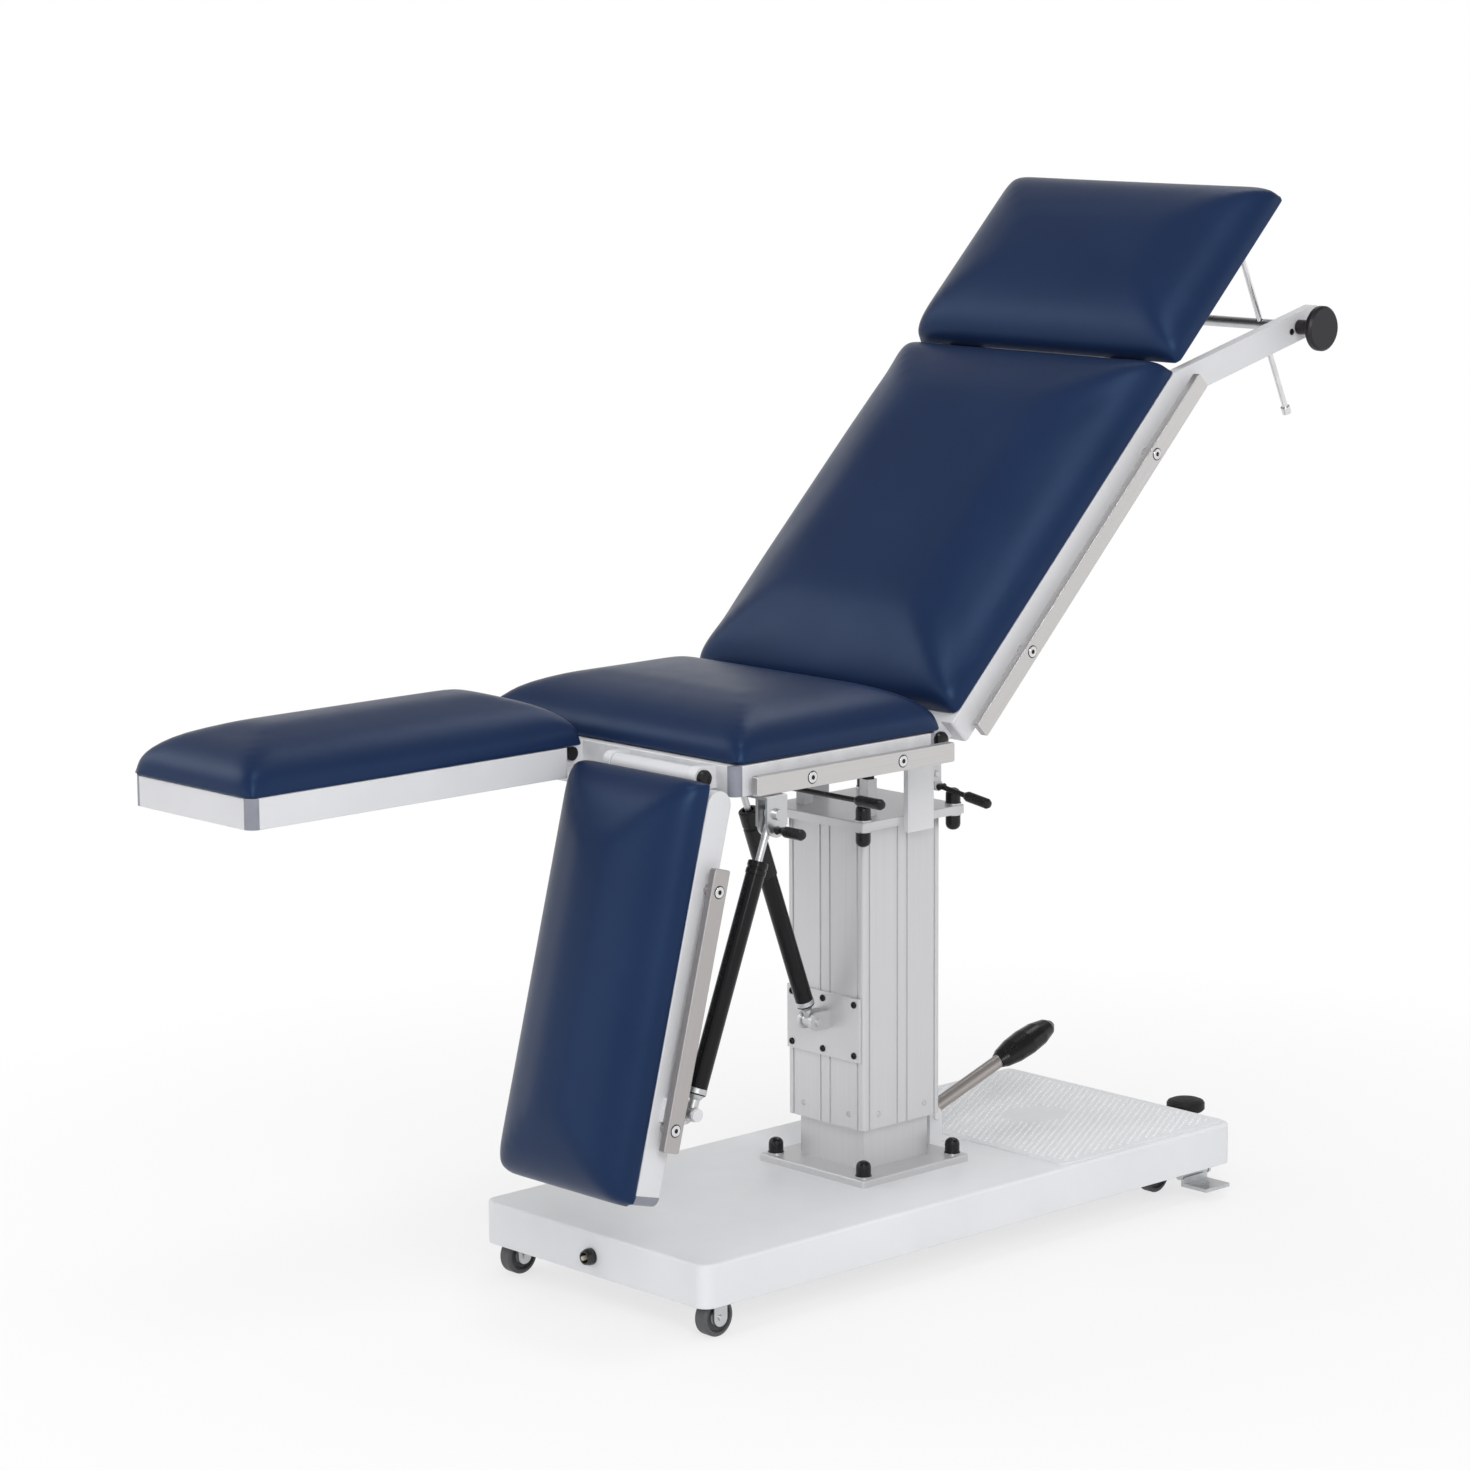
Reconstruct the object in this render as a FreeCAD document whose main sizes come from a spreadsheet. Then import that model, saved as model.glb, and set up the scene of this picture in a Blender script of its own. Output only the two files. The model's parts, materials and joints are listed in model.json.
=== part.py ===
import FreeCAD, Part
import os
import re
import Sketcher

# Split-leg operating table. Millimetres; floor at z = 0 under the column axis,
# +X towards the head end, +Y towards the far side.

SIZES = {
    # Running and sliding fits
    "run_clear": 0.05,
    "slide_clear": 0.5,
    "side_clear": 0.5,
    # Base cover and foot mat
    "base_length": 1000,
    "base_width": 430,
    "base_height": 57,
    "base_clear": 45,
    "base_front": 490,
    "base_corner": 18,
    "base_edge": 4,
    "mat_gap": 36,
    "mat_width": 412,
    "mat_thick": 2.5,
    "mat_margin": 8,
    "mat_corner": 10,
    # Front wheels and rear casters
    "wheel_radius": 25,
    "wheel_width": 20,
    "wheel_hub": 9,
    "axle_radius": 4,
    "front_wheel_inset": 38,
    "front_wheel_track": 378,
    "wheel_well_depth": 12,
    "caster_inset": 55,
    "caster_track": 264,
    "caster_trail": 18,
    "caster_well": 48,
    "caster_well_depth": 24,
    "caster_width": 18,
    "cheek_thick": 3,
    "stem_radius": 6,
    "stem_length": 12,
    # Pedals
    "pump_set": 118,
    "pump_height": 146,
    "pump_pin": 5,
    "pump_hub": 12,
    "pump_cheek": 6,
    "pump_hub_half": 13.5,
    "pump_tube": 9.5,
    "pump_reach": 150,
    "pump_rise": 18.4,
    "grip_length": 114,
    "grip_width": 46,
    "grip_depth": 36,
    "lower_stand": 10,
    "lower_rise": 22,
    "lower_side": 92,
    "lower_width": 56,
    "lower_top": 106,
    "lower_pad": 27,
    "lower_riser": 16,
    "lower_lug": 9,
    "lower_rubber": 6,
    "brake_inset": 46,
    "brake_width": 49,
    "brake_side": 182,
    "brake_reach": 46,
    "pedal_thick": 5,
    "pedal_pin": 4,
    # Bonding socket
    "socket_height": 70,
    "socket_radius": 11,
    "socket_depth": 12,
    "socket_bore": 7,
    "bond_pin": 3,
    # Column
    "plate_size": 200,
    "plate_thick": 10,
    "inner_size": 120,
    "inner_wall": 6,
    "inner_length": 418,
    "outer_size": 144,
    "outer_length": 411,
    "column_show": 57,
    "flute_width": 3,
    "flute_depth": 1.6,
    "flute_mid": 9,
    "flute_edge": 11,
    "ram_radius": 40,
    "ram_length": 350,
    "ram_floor": 8,
    "piston_radius": 20,
    "top_size": 190,
    "top_thick": 12,
    "nut_pitch": 168,
    "washer_radius": 11,
    "washer_thick": 2.5,
    "nut_radius": 10,
    "nut_thick": 12,
    "dome_height": 8,
    # Tilt posts, buffers and the front strut bracket
    "tilt_x": 4,
    "tilt_z": 684,
    "tilt_pin": 5,
    "post_width": 48,
    "post_thick": 8,
    "post_foot": 22,
    "post_cap": 14,
    "stop_x": 51,
    "stop_pitch": 120,
    "stop_size": 16,
    "stop_height": 49,
    "bracket_width": 136,
    "bracket_height": 87,
    "bracket_thick": 5,
    "bracket_z": 262,
    "bracket_pivot_x": 100,
    "bracket_pivot_z": 313,
    "strut_pin": 5,
    "strut_eye": 9,
    "eye_width": 16,
    "lug_thick": 5,
    "lug_cheek": 4,
    # Seat
    "seat_front": 460,
    "seat_length": 354,
    "table_width": 484,
    "frame_depth": 38,
    "frame_wall": 20,
    "frame_corner": 5,
    "frame_edge": 1.5,
    "board_thick": 6,
    "seat_top": 732,
    "cap_size": 13,
    "pad_thick": 54,
    "pad_wall": 25,
    "pad_corner": 11,
    "pad_draw": 2.5,
    "seat_pad_rear": 99,
    "seat_pad_length": 351,
    "rail_height": 25,
    "rail_thick": 10,
    "rail_stand": 12,
    "rail_post": 6,
    "rail_corner": 3,
    "rail_edge": 1.2,
    "seat_rail_length": 344,
    "seat_rail_rear": 98,
    "seat_rail_drop": 11,
    "seat_rail_hole": 79,
    "bar_size": 20,
    "bar_gap": 1,
    "bar_tail": 20,
    "bar_shim": 2,
    # Hinges of the leg and back sections
    "hinge_drop": 15,
    "ear_radius": 14.5,
    "ear_thick": 14,
    "hinge_pin": 6,
    "hinge_cap": 11,
    "hinge_cap_thick": 8,
    "leg_axis": 482,
    "back_axis": 83,
    # Legs
    "leg_gap": 12,
    "leg_start": 30,
    "leg_end": 525,
    "leg_pad_start": 4,
    "hinge_tube": 13,
    "ear_out": 209,
    "ear_in": 39,
    "leg_rail_start": 104,
    "leg_rail_length": 350,
    "leg_rail_top": 3.5,
    "leg_rail_hole": 28,
    "leg_near_fall": 75.3,
    "leg_far_fall": 0,
    "leg_strut_along": 404,
    "leg_strut_drop": 36,
    "leg_strut_out": 14.5,
    "leg_head_x": 412,
    "leg_head_z": 671,
    "leg_head_plate": 4,
    "strut_lug": 15,
    "strut_radius": 12,
    "strut_bore": 9,
    "strut_rod": 4.5,
    "leg_strut_body": 294,
    "strut_neck": 24,
    "leg_rod_length": 176,
    "rod_eye": 8,
    "rod_eye_width": 11,
    "lever_radius": 3.5,
    "lever_grip": 7,
    "lever_barrel": 4,
    "lever_barrel_half": 6,
    "leg_lever_stem": 10,
    "leg_lever_drop": 20,
    "leg_lever_reach": 46,
    # Tilt strut
    "tilt_head_x": 236,
    "tilt_head_z": 680,
    "tilt_open": 2.6,
    "tilt_strut_body": 272,
    "tilt_rod_length": 200,
    "tilt_lever_reach": 258,
    "tilt_lever_set": 24.5,
    "tilt_grip_length": 48,
    # Back
    "back_rise": 45,
    "back_start": 18,
    "back_end": 612,
    "back_pad_start": 32,
    "back_rail_start": 34,
    "back_rail_length": 594,
    "back_rail_top": 4,
    "back_rail_hole": 130,
    "lug_width": 9,
    "back_ear_thick": 12,
    "back_foot_x": 56,
    "back_foot_drop": 36,
    "back_strut_y": 66,
    "back_strut_along": 430,
    "back_strut_drop": 40,
    "back_strut_body": 202,
    "back_neck": 52,
    "back_rod_length": 228,
    "back_rod": 5,
    "back_lever_reach": 86,
    "back_lever_shift": 6,
    "back_lever_drop": 17,
    "back_lever_droop": 8,
    "back_grip_length": 44,
    # Arms, head and clamp
    "arm_root": 605,
    "arm_bend": 30.6,
    "arm_length": 304,
    "arm_thick": 15,
    "bar_inset": 53,
    "head_axis": 619.5,
    "head_gap": 7.5,
    "head_length": 292,
    "head_board": 8,
    "board_inset": 6,
    "knuckle": 6,
    "knuckle_pin": 3,
    "knuckle_mid": 150,
    "knuckle_length": 60,
    "knuckle_side": 11.5,
    "guide_y": 176,
    "guide_rod": 4,
    "guide_length": 266,
    "guide_along": 249,
    "guide_drop": 16,
    "guide_eye": 7,
    "guide_eye_width": 11,
    "guide_open": 2,
    "guide_cap": 6.5,
    "crossbar_radius": 7.5,
    "crossbar_stub": 5.5,
    "knob_radius": 30.5,
    "knob_thick": 12,
    "knob_hub": 10,
    "knob_hub_length": 32,
    "knob_spindle": 3.5,
}

# Sizes that follow from the ones above.
DERIVED = {
    "front_wheel_set": "base_front - front_wheel_inset",
    "caster_set": "base_rear - caster_inset",
    "lower_set": "base_rear + lower_stand",
    "lower_pivot": "base_clear + lower_rise",
    "brake_set": "base_rear - brake_inset",
    "back_foot_z": "bar_low - back_foot_drop",
    "lever_root": "leg_strut_y + rod_gap + lug_cheek + side_clear",
    "base_top": "base_clear + base_height",
    "base_rear": "base_length - base_front",
    "plate_top": "base_top + plate_thick",
    "outer_foot": "plate_top + column_show",
    "outer_top": "outer_foot + outer_length",
    "deck": "outer_top + top_thick",
    "outer_bore": "inner_size + 2 * slide_clear",
    "half": "table_width / 2",
    "leg_strut_y": "half + leg_strut_out",
    "pump_rear": "pump_set + pump_hub + pump_cheek",
    "seat_rear": "seat_front - seat_length",
    "hinge_z": "seat_top - hinge_drop",
    "frame_low": "hinge_drop - frame_depth",
    "frame_mid": "hinge_drop - frame_depth / 2",
    "seat_low": "seat_top - frame_depth",
    "rail_in": "half + rail_stand",
    "rail_out": "rail_in + rail_thick",
    "bar_top": "seat_low - bar_shim",
    "bar_low": "bar_top - bar_size",
    "post_in": "top_size / 2",
    "bar_out": "post_in - bar_gap",
    "bar_in": "bar_out - bar_size",
    "tube_out": "ear_out - ear_thick - side_clear",
    "tube_in": "ear_in + ear_thick + side_clear",
    "lug_in": "half - frame_wall - lug_width",
    "back_ear_out": "lug_in - side_clear",
    "back_ear_in": "back_ear_out - back_ear_thick",
    "eye_half": "eye_width / 2",
    "lug_gap": "eye_half + side_clear",
    "rod_gap": "rod_eye_width / 2 + 2 * side_clear",
    "leg_near_foot_x": "-leg_axis - leg_strut_along * cos(leg_near_fall)"
                       " + leg_strut_drop * sin(leg_near_fall)",
    "leg_near_foot_z": "hinge_z - leg_strut_along * sin(leg_near_fall) - leg_strut_drop * cos(leg_near_fall)",
    "leg_far_foot_x": "-leg_axis - leg_strut_along * cos(leg_far_fall) + leg_strut_drop * sin(leg_far_fall)",
    "leg_far_foot_z": "hinge_z - leg_strut_along * sin(leg_far_fall) - leg_strut_drop * cos(leg_far_fall)",
    "leg_near_dx": "-leg_head_x - leg_near_foot_x",
    "leg_near_dz": "leg_head_z - leg_near_foot_z",
    "leg_far_dx": "-leg_head_x - leg_far_foot_x",
    "leg_far_dz": "leg_head_z - leg_far_foot_z",
    "leg_near_turn": "atan2(leg_near_dx; leg_near_dz) / 1 deg",
    "leg_far_turn": "atan2(leg_far_dx; leg_far_dz) / 1 deg",
    "leg_near_span": "sqrt(leg_near_dx * leg_near_dx + leg_near_dz * leg_near_dz)",
    "leg_far_span": "sqrt(leg_far_dx * leg_far_dx + leg_far_dz * leg_far_dz)",
    "tilt_dx": "bracket_pivot_x - tilt_head_x",
    "tilt_dz": "tilt_head_z - bracket_pivot_z",
    "tilt_turn": "atan2(tilt_dx; tilt_dz) / 1 deg",
    "tilt_span": "sqrt(tilt_dx * tilt_dx + tilt_dz * tilt_dz)",
    "back_dx": "-back_axis + back_strut_along * cos(back_rise)"
               " + back_strut_drop * sin(back_rise) - back_foot_x",
    "back_dz": "hinge_z + back_strut_along * sin(back_rise) - back_strut_drop * cos(back_rise) - back_foot_z",
    "back_turn": "atan2(back_dx; back_dz) / 1 deg",
    "back_span": "sqrt(back_dx * back_dx + back_dz * back_dz)",
    "bar_along_arm": "arm_length - bar_inset",
    "arm_low": "frame_mid - bar_along_arm * sin(arm_bend)",
    "bar_u": "arm_root + bar_along_arm * cos(arm_bend)",
    "head_w": "hinge_drop - head_board / 2",
    "guide_u": "head_axis + guide_along",
    "guide_w": "head_w - guide_drop",
    "guide_du": "guide_u - bar_u",
    "guide_dw": "guide_w - arm_low",
    "guide_lean": "atan2(guide_du; guide_dw) / 1 deg",
    "guide_turn": "guide_lean - back_rise",
    "knob_in": "half + 2",
}

doc = FreeCAD.newDocument("OperatingTable")
sheet = doc.addObject("Spreadsheet::Sheet", "Sizes")
for row, (alias, value) in enumerate(SIZES.items(), start=1):
    sheet.set("A%d" % row, alias)
    sheet.set("B%d" % row, str(value))
    sheet.setAlias("B%d" % row, alias)
doc.recompute()

NODES = []


def formula(text):
    """Turn a formula in size names into one that reads the sheet."""
    def swap(match):
        word = match.group(0)
        if word in DERIVED:
            return "(" + formula(DERIVED[word]) + ")"
        if word in SIZES:
            return "Sizes." + word
        return word
    return re.sub(r"[a-z_][a-z_0-9]*", swap, str(text))


def size(text):
    """Give the number that a formula in size names stands for."""
    return float(sheet.evalExpression(formula(text)))


def minus(text):
    """Negate a formula."""
    return "-(%s)" % text


def sided(side, low, high):
    """Give a span across the table for the far side, or its mirror for the near side."""
    return (low, high) if side > 0 else (minus(high), minus(low))


def place(thing, x, y, z, axis="0; 1; 0", angle="0"):
    """Bind an object's place and turn to the sheet."""
    spot = "vector(%s; %s; %s)" % (formula(x), formula(y), formula(z))
    turn = "rotation(vector(%s); %s)" % (axis, formula(angle))
    thing.setExpression("Placement", "placement(%s; %s)" % (spot, turn))
    return thing


def box(across_x, across_y, across_z):
    """Make a block between three pairs of formulas."""
    thing = doc.addObject("Part::Box", "Block")
    for name, (low, high) in zip(("Length", "Width", "Height"), (across_x, across_y, across_z)):
        thing.setExpression(name, formula("(%s) - (%s)" % (high, low)))
    return place(thing, across_x[0], across_y[0], across_z[0])


def round_bar(way, first, second, span, radius):
    """Make a cylinder along X, Y or Z through two cross coordinates, between two formulas."""
    thing = doc.addObject("Part::Cylinder", "Round")
    thing.setExpression("Radius", formula(radius))
    thing.setExpression("Height", formula("(%s) - (%s)" % (span[1], span[0])))
    if way == "X":
        return place(thing, span[0], first, second, "0; 1; 0", "90")
    if way == "Y":
        return place(thing, first, span[0], second, "1; 0; 0", "-90")
    return place(thing, first, second, span[0])


def fuse(things):
    """Join solids that belong to one piece."""
    if len(things) == 1:
        return things[0]
    whole = doc.addObject("Part::MultiFuse", "Joined")
    whole.Shapes = things
    whole.Refine = True
    return whole


def cut(base, tools):
    """Take tools away from a base."""
    thing = doc.addObject("Part::Cut", "Cut")
    thing.Base = base
    thing.Tool = fuse(tools)
    thing.Refine = True
    return thing


def node(thing, label):
    """Name a finished sub-part."""
    thing.Label = label
    NODES.append(thing)
    return thing


def origin_plane(body, role):
    """Find one of a body's own origin planes."""
    for feature in body.Origin.OriginFeatures:
        if feature.Role == role:
            return feature
    raise LookupError(role)


def outline(body, role, points, name):
    """Draw a closed outline of straight lines whose corners are bound to the sheet."""
    sketch = body.newObject("Sketcher::SketchObject", name)
    sketch.AttachmentSupport = [(origin_plane(body, role), "")]
    sketch.MapMode = "FlatFace"
    spots = [FreeCAD.Vector(size(u), size(v), 0) for u, v in points]
    count = len(spots)
    for index in range(count):
        sketch.addGeometry(Part.LineSegment(spots[index], spots[(index + 1) % count]), False)
    for index in range(count):
        sketch.addConstraint(Sketcher.Constraint("Coincident", index, 2, (index + 1) % count, 1))
    for index, (u, v) in enumerate(points):
        for kind, text in (("DistanceX", u), ("DistanceY", v)):
            number = sketch.addConstraint(Sketcher.Constraint(kind, -1, 1, index, 1, size(text)))
            sketch.setExpression("Constraints[%d]" % number, formula(text))
    return sketch


def ring_outline(body, role, spots, name):
    """Draw circles whose centres and radii are bound to the sheet."""
    sketch = body.newObject("Sketcher::SketchObject", name)
    sketch.AttachmentSupport = [(origin_plane(body, role), "")]
    sketch.MapMode = "FlatFace"
    for index, (u, v, radius) in enumerate(spots):
        middle = FreeCAD.Vector(size(u), size(v), 0)
        sketch.addGeometry(Part.Circle(middle, FreeCAD.Vector(0, 0, 1), size(radius)), False)
        for kind, text in (("DistanceX", u), ("DistanceY", v)):
            number = sketch.addConstraint(Sketcher.Constraint(kind, -1, 1, index, 3, size(text)))
            sketch.setExpression("Constraints[%d]" % number, formula(text))
        number = sketch.addConstraint(Sketcher.Constraint("Radius", index, size(radius)))
        sketch.setExpression("Constraints[%d]" % number, formula(radius))
    return sketch


def rectangle(across_x, across_y):
    """List the four corners of a rectangle."""
    return [(across_x[0], across_y[0]), (across_x[1], across_y[0]),
            (across_x[1], across_y[1]), (across_x[0], across_y[1])]


def upright_edges(shape):
    """Name the straight edges that stand along Z."""
    names = []
    for number, edge in enumerate(shape.Edges, start=1):
        first, last = edge.Vertexes[0].Point, edge.Vertexes[-1].Point
        flat = abs(first.x - last.x) + abs(first.y - last.y)
        if flat < 1e-6 and abs(first.z - last.z) > 1e-6:
            names.append("Edge%d" % number)
    return names


def top_edges(shape):
    """Name the edges that lie in the highest plane."""
    high = shape.BoundBox.ZMax
    names = []
    for number, edge in enumerate(shape.Edges, start=1):
        if all(abs(spot.Z - high) < 1e-6 for spot in edge.Vertexes):
            names.append("Edge%d" % number)
    return names


def slab(across_x, across_y, thick, corner, edge=None):
    """Make a body: a plate with rounded corners and, if asked, a rounded top edge."""
    body = doc.addObject("PartDesign::Body", "Slab")
    pad = body.newObject("PartDesign::Pad", "Thickness")
    pad.Profile = outline(body, "XY_Plane", rectangle(across_x, across_y), "Outline")
    pad.setExpression("Length", formula(thick))
    doc.recompute()
    corners = body.newObject("PartDesign::Fillet", "Corners")
    corners.Base = (pad, upright_edges(pad.Shape))
    corners.setExpression("Radius", formula(corner))
    doc.recompute()
    if edge is not None:
        rim = body.newObject("PartDesign::Fillet", "Rim")
        rim.Base = (corners, top_edges(corners.Shape))
        rim.setExpression("Radius", formula(edge))
        doc.recompute()
    return body


def sink(body, sketch, depth):
    """Pocket a sketch of a body upwards from its underside."""
    before = body.Shape.Volume
    pocket = body.newObject("PartDesign::Pocket", "Well")
    pocket.Profile = sketch
    pocket.setExpression("Length", formula(depth))
    pocket.Reversed = True
    doc.recompute()
    if body.Shape.Volume >= before:
        raise ValueError("a well cuts nothing")
    return pocket


def turned(points):
    """Make a body: an outline in the XZ plane turned about its upright axis."""
    body = doc.addObject("PartDesign::Body", "Turned")
    sketch = outline(body, "XZ_Plane", points, "Section")
    turn = body.newObject("PartDesign::Revolution", "Turn")
    turn.Profile = sketch
    turn.ReferenceAxis = (sketch, ["V_Axis"])
    turn.Angle = 360
    doc.recompute()
    return body


def cushion_ring(low, high, inset, height, corner, draw):
    """Make one rounded ring of a cushion; its sides are drawn in between the corners."""
    x0, y0 = low[0] + inset, low[1] + inset
    x1, y1 = high[0] - inset, high[1] - inset
    near = corner * (1 - 0.7071)
    vec = FreeCAD.Vector
    mid_x, mid_y = (x0 + x1) / 2, (y0 + y1) / 2
    sides = [
        (vec(x0 + corner, y0, height), vec(mid_x, y0 + draw, height), vec(x1 - corner, y0, height)),
        (vec(x1 - corner, y0, height), vec(x1 - near, y0 + near, height), vec(x1, y0 + corner, height)),
        (vec(x1, y0 + corner, height), vec(x1 - draw, mid_y, height), vec(x1, y1 - corner, height)),
        (vec(x1, y1 - corner, height), vec(x1 - near, y1 - near, height), vec(x1 - corner, y1, height)),
        (vec(x1 - corner, y1, height), vec(mid_x, y1 - draw, height), vec(x0 + corner, y1, height)),
        (vec(x0 + corner, y1, height), vec(x0 + near, y1 - near, height), vec(x0, y1 - corner, height)),
        (vec(x0, y1 - corner, height), vec(x0 + draw, mid_y, height), vec(x0, y0 + corner, height)),
        (vec(x0, y0 + corner, height), vec(x0 + near, y0 + near, height), vec(x0 + corner, y0, height)),
    ]
    return Part.Wire([Part.Arc(*side).toShape() for side in sides])


def cushion(across_x, across_y, floor):
    """Make a crowned pad: side wall to the seam, then a soft shoulder up to the crown."""
    low = (size(across_x[0]), size(across_y[0]))
    high = (size(across_x[1]), size(across_y[1]))
    base, wall, full = size(floor), size("pad_wall"), size("pad_thick")
    corner, draw = size("pad_corner"), size("pad_draw")
    rise = full - wall
    levels = [
        (1.0, 0.0, corner, draw),
        (0.0, wall * 0.3, corner, draw),
        (2.0, wall * 0.8, corner, draw),
        (8.0, wall + rise * 0.25, corner, draw),
        (18.0, wall + rise * 0.56, corner, draw * 0.8),
        (38.0, wall + rise * 0.85, corner, draw * 0.5),
        (80.0, full, corner, draw * 0.2),
    ]
    rings = [cushion_ring(low, high, inset, base + height, turn, pull)
             for inset, height, turn, pull in levels]
    thing = doc.addObject("Part::Feature", "Cushion")
    thing.Shape = Part.makeLoft(rings, True, True)
    return thing


def cap_nut(x, y, z, way=1):
    """Make one domed cap on its washer, standing up or hanging down."""
    rim = "washer_thick + nut_thick"
    cap = turned([
        ("0.05", "0"), ("washer_radius", "0.01"), ("washer_radius", "washer_thick"),
        ("nut_radius", "washer_thick + 0.01"), ("nut_radius", rim),
        ("nut_radius * 0.92", "%s + dome_height * 0.42" % rim),
        ("nut_radius * 0.7", "%s + dome_height * 0.76" % rim),
        ("nut_radius * 0.38", "%s + dome_height * 0.95" % rim),
        ("0.05", "%s + dome_height" % rim),
    ])
    return place(cap, x, y, z, "1; 0; 0", "0" if way > 0 else "180")


def hinge_button(x, y, z, side):
    """Make the domed button on the end of a hinge bolt."""
    cap = turned([
        ("0.05", "0"), ("hinge_cap", "0.01"), ("hinge_cap", "hinge_cap_thick * 0.45"),
        ("hinge_cap * 0.86", "hinge_cap_thick * 0.76"), ("hinge_cap * 0.5", "hinge_cap_thick * 0.95"),
        ("0.05", "hinge_cap_thick"),
    ])
    return place(cap, x, y, z, "1; 0; 0", "-90" if side > 0 else "90")


def lever_arm(stem, grip):
    """Make a release lever along Z: a thin stem and a grip with rounded ends."""
    end = "(%s) + %s" % (stem, grip)
    return turned([
        ("0.05", "0"), ("lever_radius", "0.01"), ("lever_radius", stem),
        ("lever_grip * 0.72", "(%s) + 0.01" % stem), ("lever_grip", "(%s) + lever_grip * 0.7" % stem),
        ("lever_grip", "%s - lever_grip * 0.6" % end), ("lever_grip * 0.72", "%s - lever_grip * 0.12" % end),
        ("0.05", end),
    ])


def corner_cap(x, y, span, start):
    """Make a quarter-round corner cap."""
    cap = round_bar("Z", x, y, span, "cap_size")
    cap.Angle = 90
    return place(cap, x, y, span[0], "0; 0; 1", start)


def rail(side, span, top, posts):
    """Make a side rail on its stand-offs, outboard of a frame."""
    mid = "(%s) - rail_height / 2" % top
    bar = slab(span, ("-rail_height / 2", "rail_height / 2"), "rail_thick", "rail_corner", "rail_edge")
    place(bar, "0", "%d * rail_in" % side, mid, "1; 0; 0", "-90" if side > 0 else "90")
    pieces = [bar]
    for spot in posts:
        pieces.append(round_bar("Y", spot, mid, sided(side, "half", "rail_in"), "rail_post"))
    return fuse(pieces)


def strut_body(y, foot_eye, body, foot_bore, rod):
    """Make a gas cylinder along Z from its foot eye, with a guide bush at the mouth."""
    across = ("(%s) - eye_half" % y, "(%s) + eye_half" % y)
    mouth = "strut_neck + %s" % body
    solid = fuse([
        round_bar("Y", "0", "0", across, foot_eye),
        round_bar("Z", "0", y, ("0", "strut_neck + 4"), "strut_rod + 2"),
        round_bar("Z", "0", y, ("strut_neck", mouth), "strut_radius"),
    ])
    return cut(solid, [
        round_bar("Y", "0", "0", ("(%s) - 1" % across[0], "(%s) + 1" % across[1]), foot_bore),
        round_bar("Z", "0", y, ("strut_neck + 30", "(%s) - 12" % mouth), "strut_bore"),
        round_bar("Z", "0", y, ("(%s) - 14" % mouth, "(%s) + 1" % mouth), rod),
    ])


# Base
base = slab((minus("base_front"), "base_rear"), (minus("base_width / 2"), "base_width / 2"),
            "base_height", "base_corner", "base_edge")
for side in (-1, 1):
    row_y = "%d * front_wheel_track / 2" % side
    across = ("%s - wheel_width / 2 - 2 * cheek_thick - 2" % row_y,
              "%s + wheel_width / 2 + 2 * cheek_thick + 2" % row_y)
    along = ("-front_wheel_set - wheel_radius - 6", "-front_wheel_set + wheel_radius + 6")
    sink(base, outline(base, "XY_Plane", rectangle(along, across), "FrontWell"), "wheel_well_depth")
row = [("caster_set", "%d * caster_track / 2" % side) for side in (-1, 1)]
sink(base, ring_outline(base, "XY_Plane", [(u, v, "caster_well") for u, v in row], "RearWells"),
     "caster_well_depth")
bores = [(u, v, "stem_radius + run_clear") for u, v in row]
sink(base, ring_outline(base, "XY_Plane", bores, "StemBores"), "caster_well_depth + stem_length + 1")
node(place(base, "0", "0", "base_clear"), "base_cover")

mat = slab(("pump_rear + mat_gap", "base_rear - mat_margin"),
           (minus("mat_width / 2"), "mat_width / 2"), "mat_thick", "mat_corner", "mat_thick * 0.4")
node(place(mat, "0", "0", "base_top"), "foot_mat")

socket = turned([
    ("bond_pin * 0.02", "0"), ("socket_radius", "0.01"), ("socket_radius", "socket_depth * 0.5"),
    ("socket_radius * 0.8", "socket_depth"), ("socket_bore", "socket_depth"), ("socket_bore", "3"),
    ("bond_pin", "3.01"), ("bond_pin", "socket_depth + 3"), ("bond_pin * 0.02", "socket_depth + 3.01"),
])
node(place(socket, minus("base_front"), "0", "socket_height", "0; 1; 0", "-90"), "bonding_socket")

# Front wheels on their cheeks, and the lugs of the two rear pedals
pieces = []
for side in (-1, 1):
    row_y = "%d * front_wheel_track / 2" % side
    for hand in (-1, 1):
        inner = "wheel_width / 2 + side_clear"
        outer = "wheel_width / 2 + side_clear + cheek_thick"
        across = ("%s + %s" % (row_y, inner), "%s + %s" % (row_y, outer))
        if hand < 0:
            across = ("%s - (%s)" % (row_y, outer), "%s - (%s)" % (row_y, inner))
        pieces.append(box(("-front_wheel_set - 11", "-front_wheel_set + 11"), across,
                          ("wheel_radius", "base_clear + wheel_well_depth")))
        pieces.append(round_bar("Y", "-front_wheel_set", "wheel_radius", across, "11"))
    reach = "wheel_width / 2 + side_clear + cheek_thick + 2"
    pieces.append(round_bar("Y", "-front_wheel_set", "wheel_radius",
                            ("%s - (%s)" % (row_y, reach), "%s + %s" % (row_y, reach)), "axle_radius"))
for hand in (-1, 1):
    mid = "-lower_side + %d * (lower_width / 4 + side_clear + lug_thick / 2)" % hand
    lug = ("%s - lug_thick / 2" % mid, "%s + lug_thick / 2" % mid)
    tall = ("lower_pivot - lower_lug", "lower_pivot + lower_lug")
    pieces.append(box(("base_rear", "lower_set"), lug, tall))
    pieces.append(round_bar("Y", "lower_set", "lower_pivot", lug, "lower_lug"))
reach = "lower_width / 4 + side_clear + lug_thick"
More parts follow.
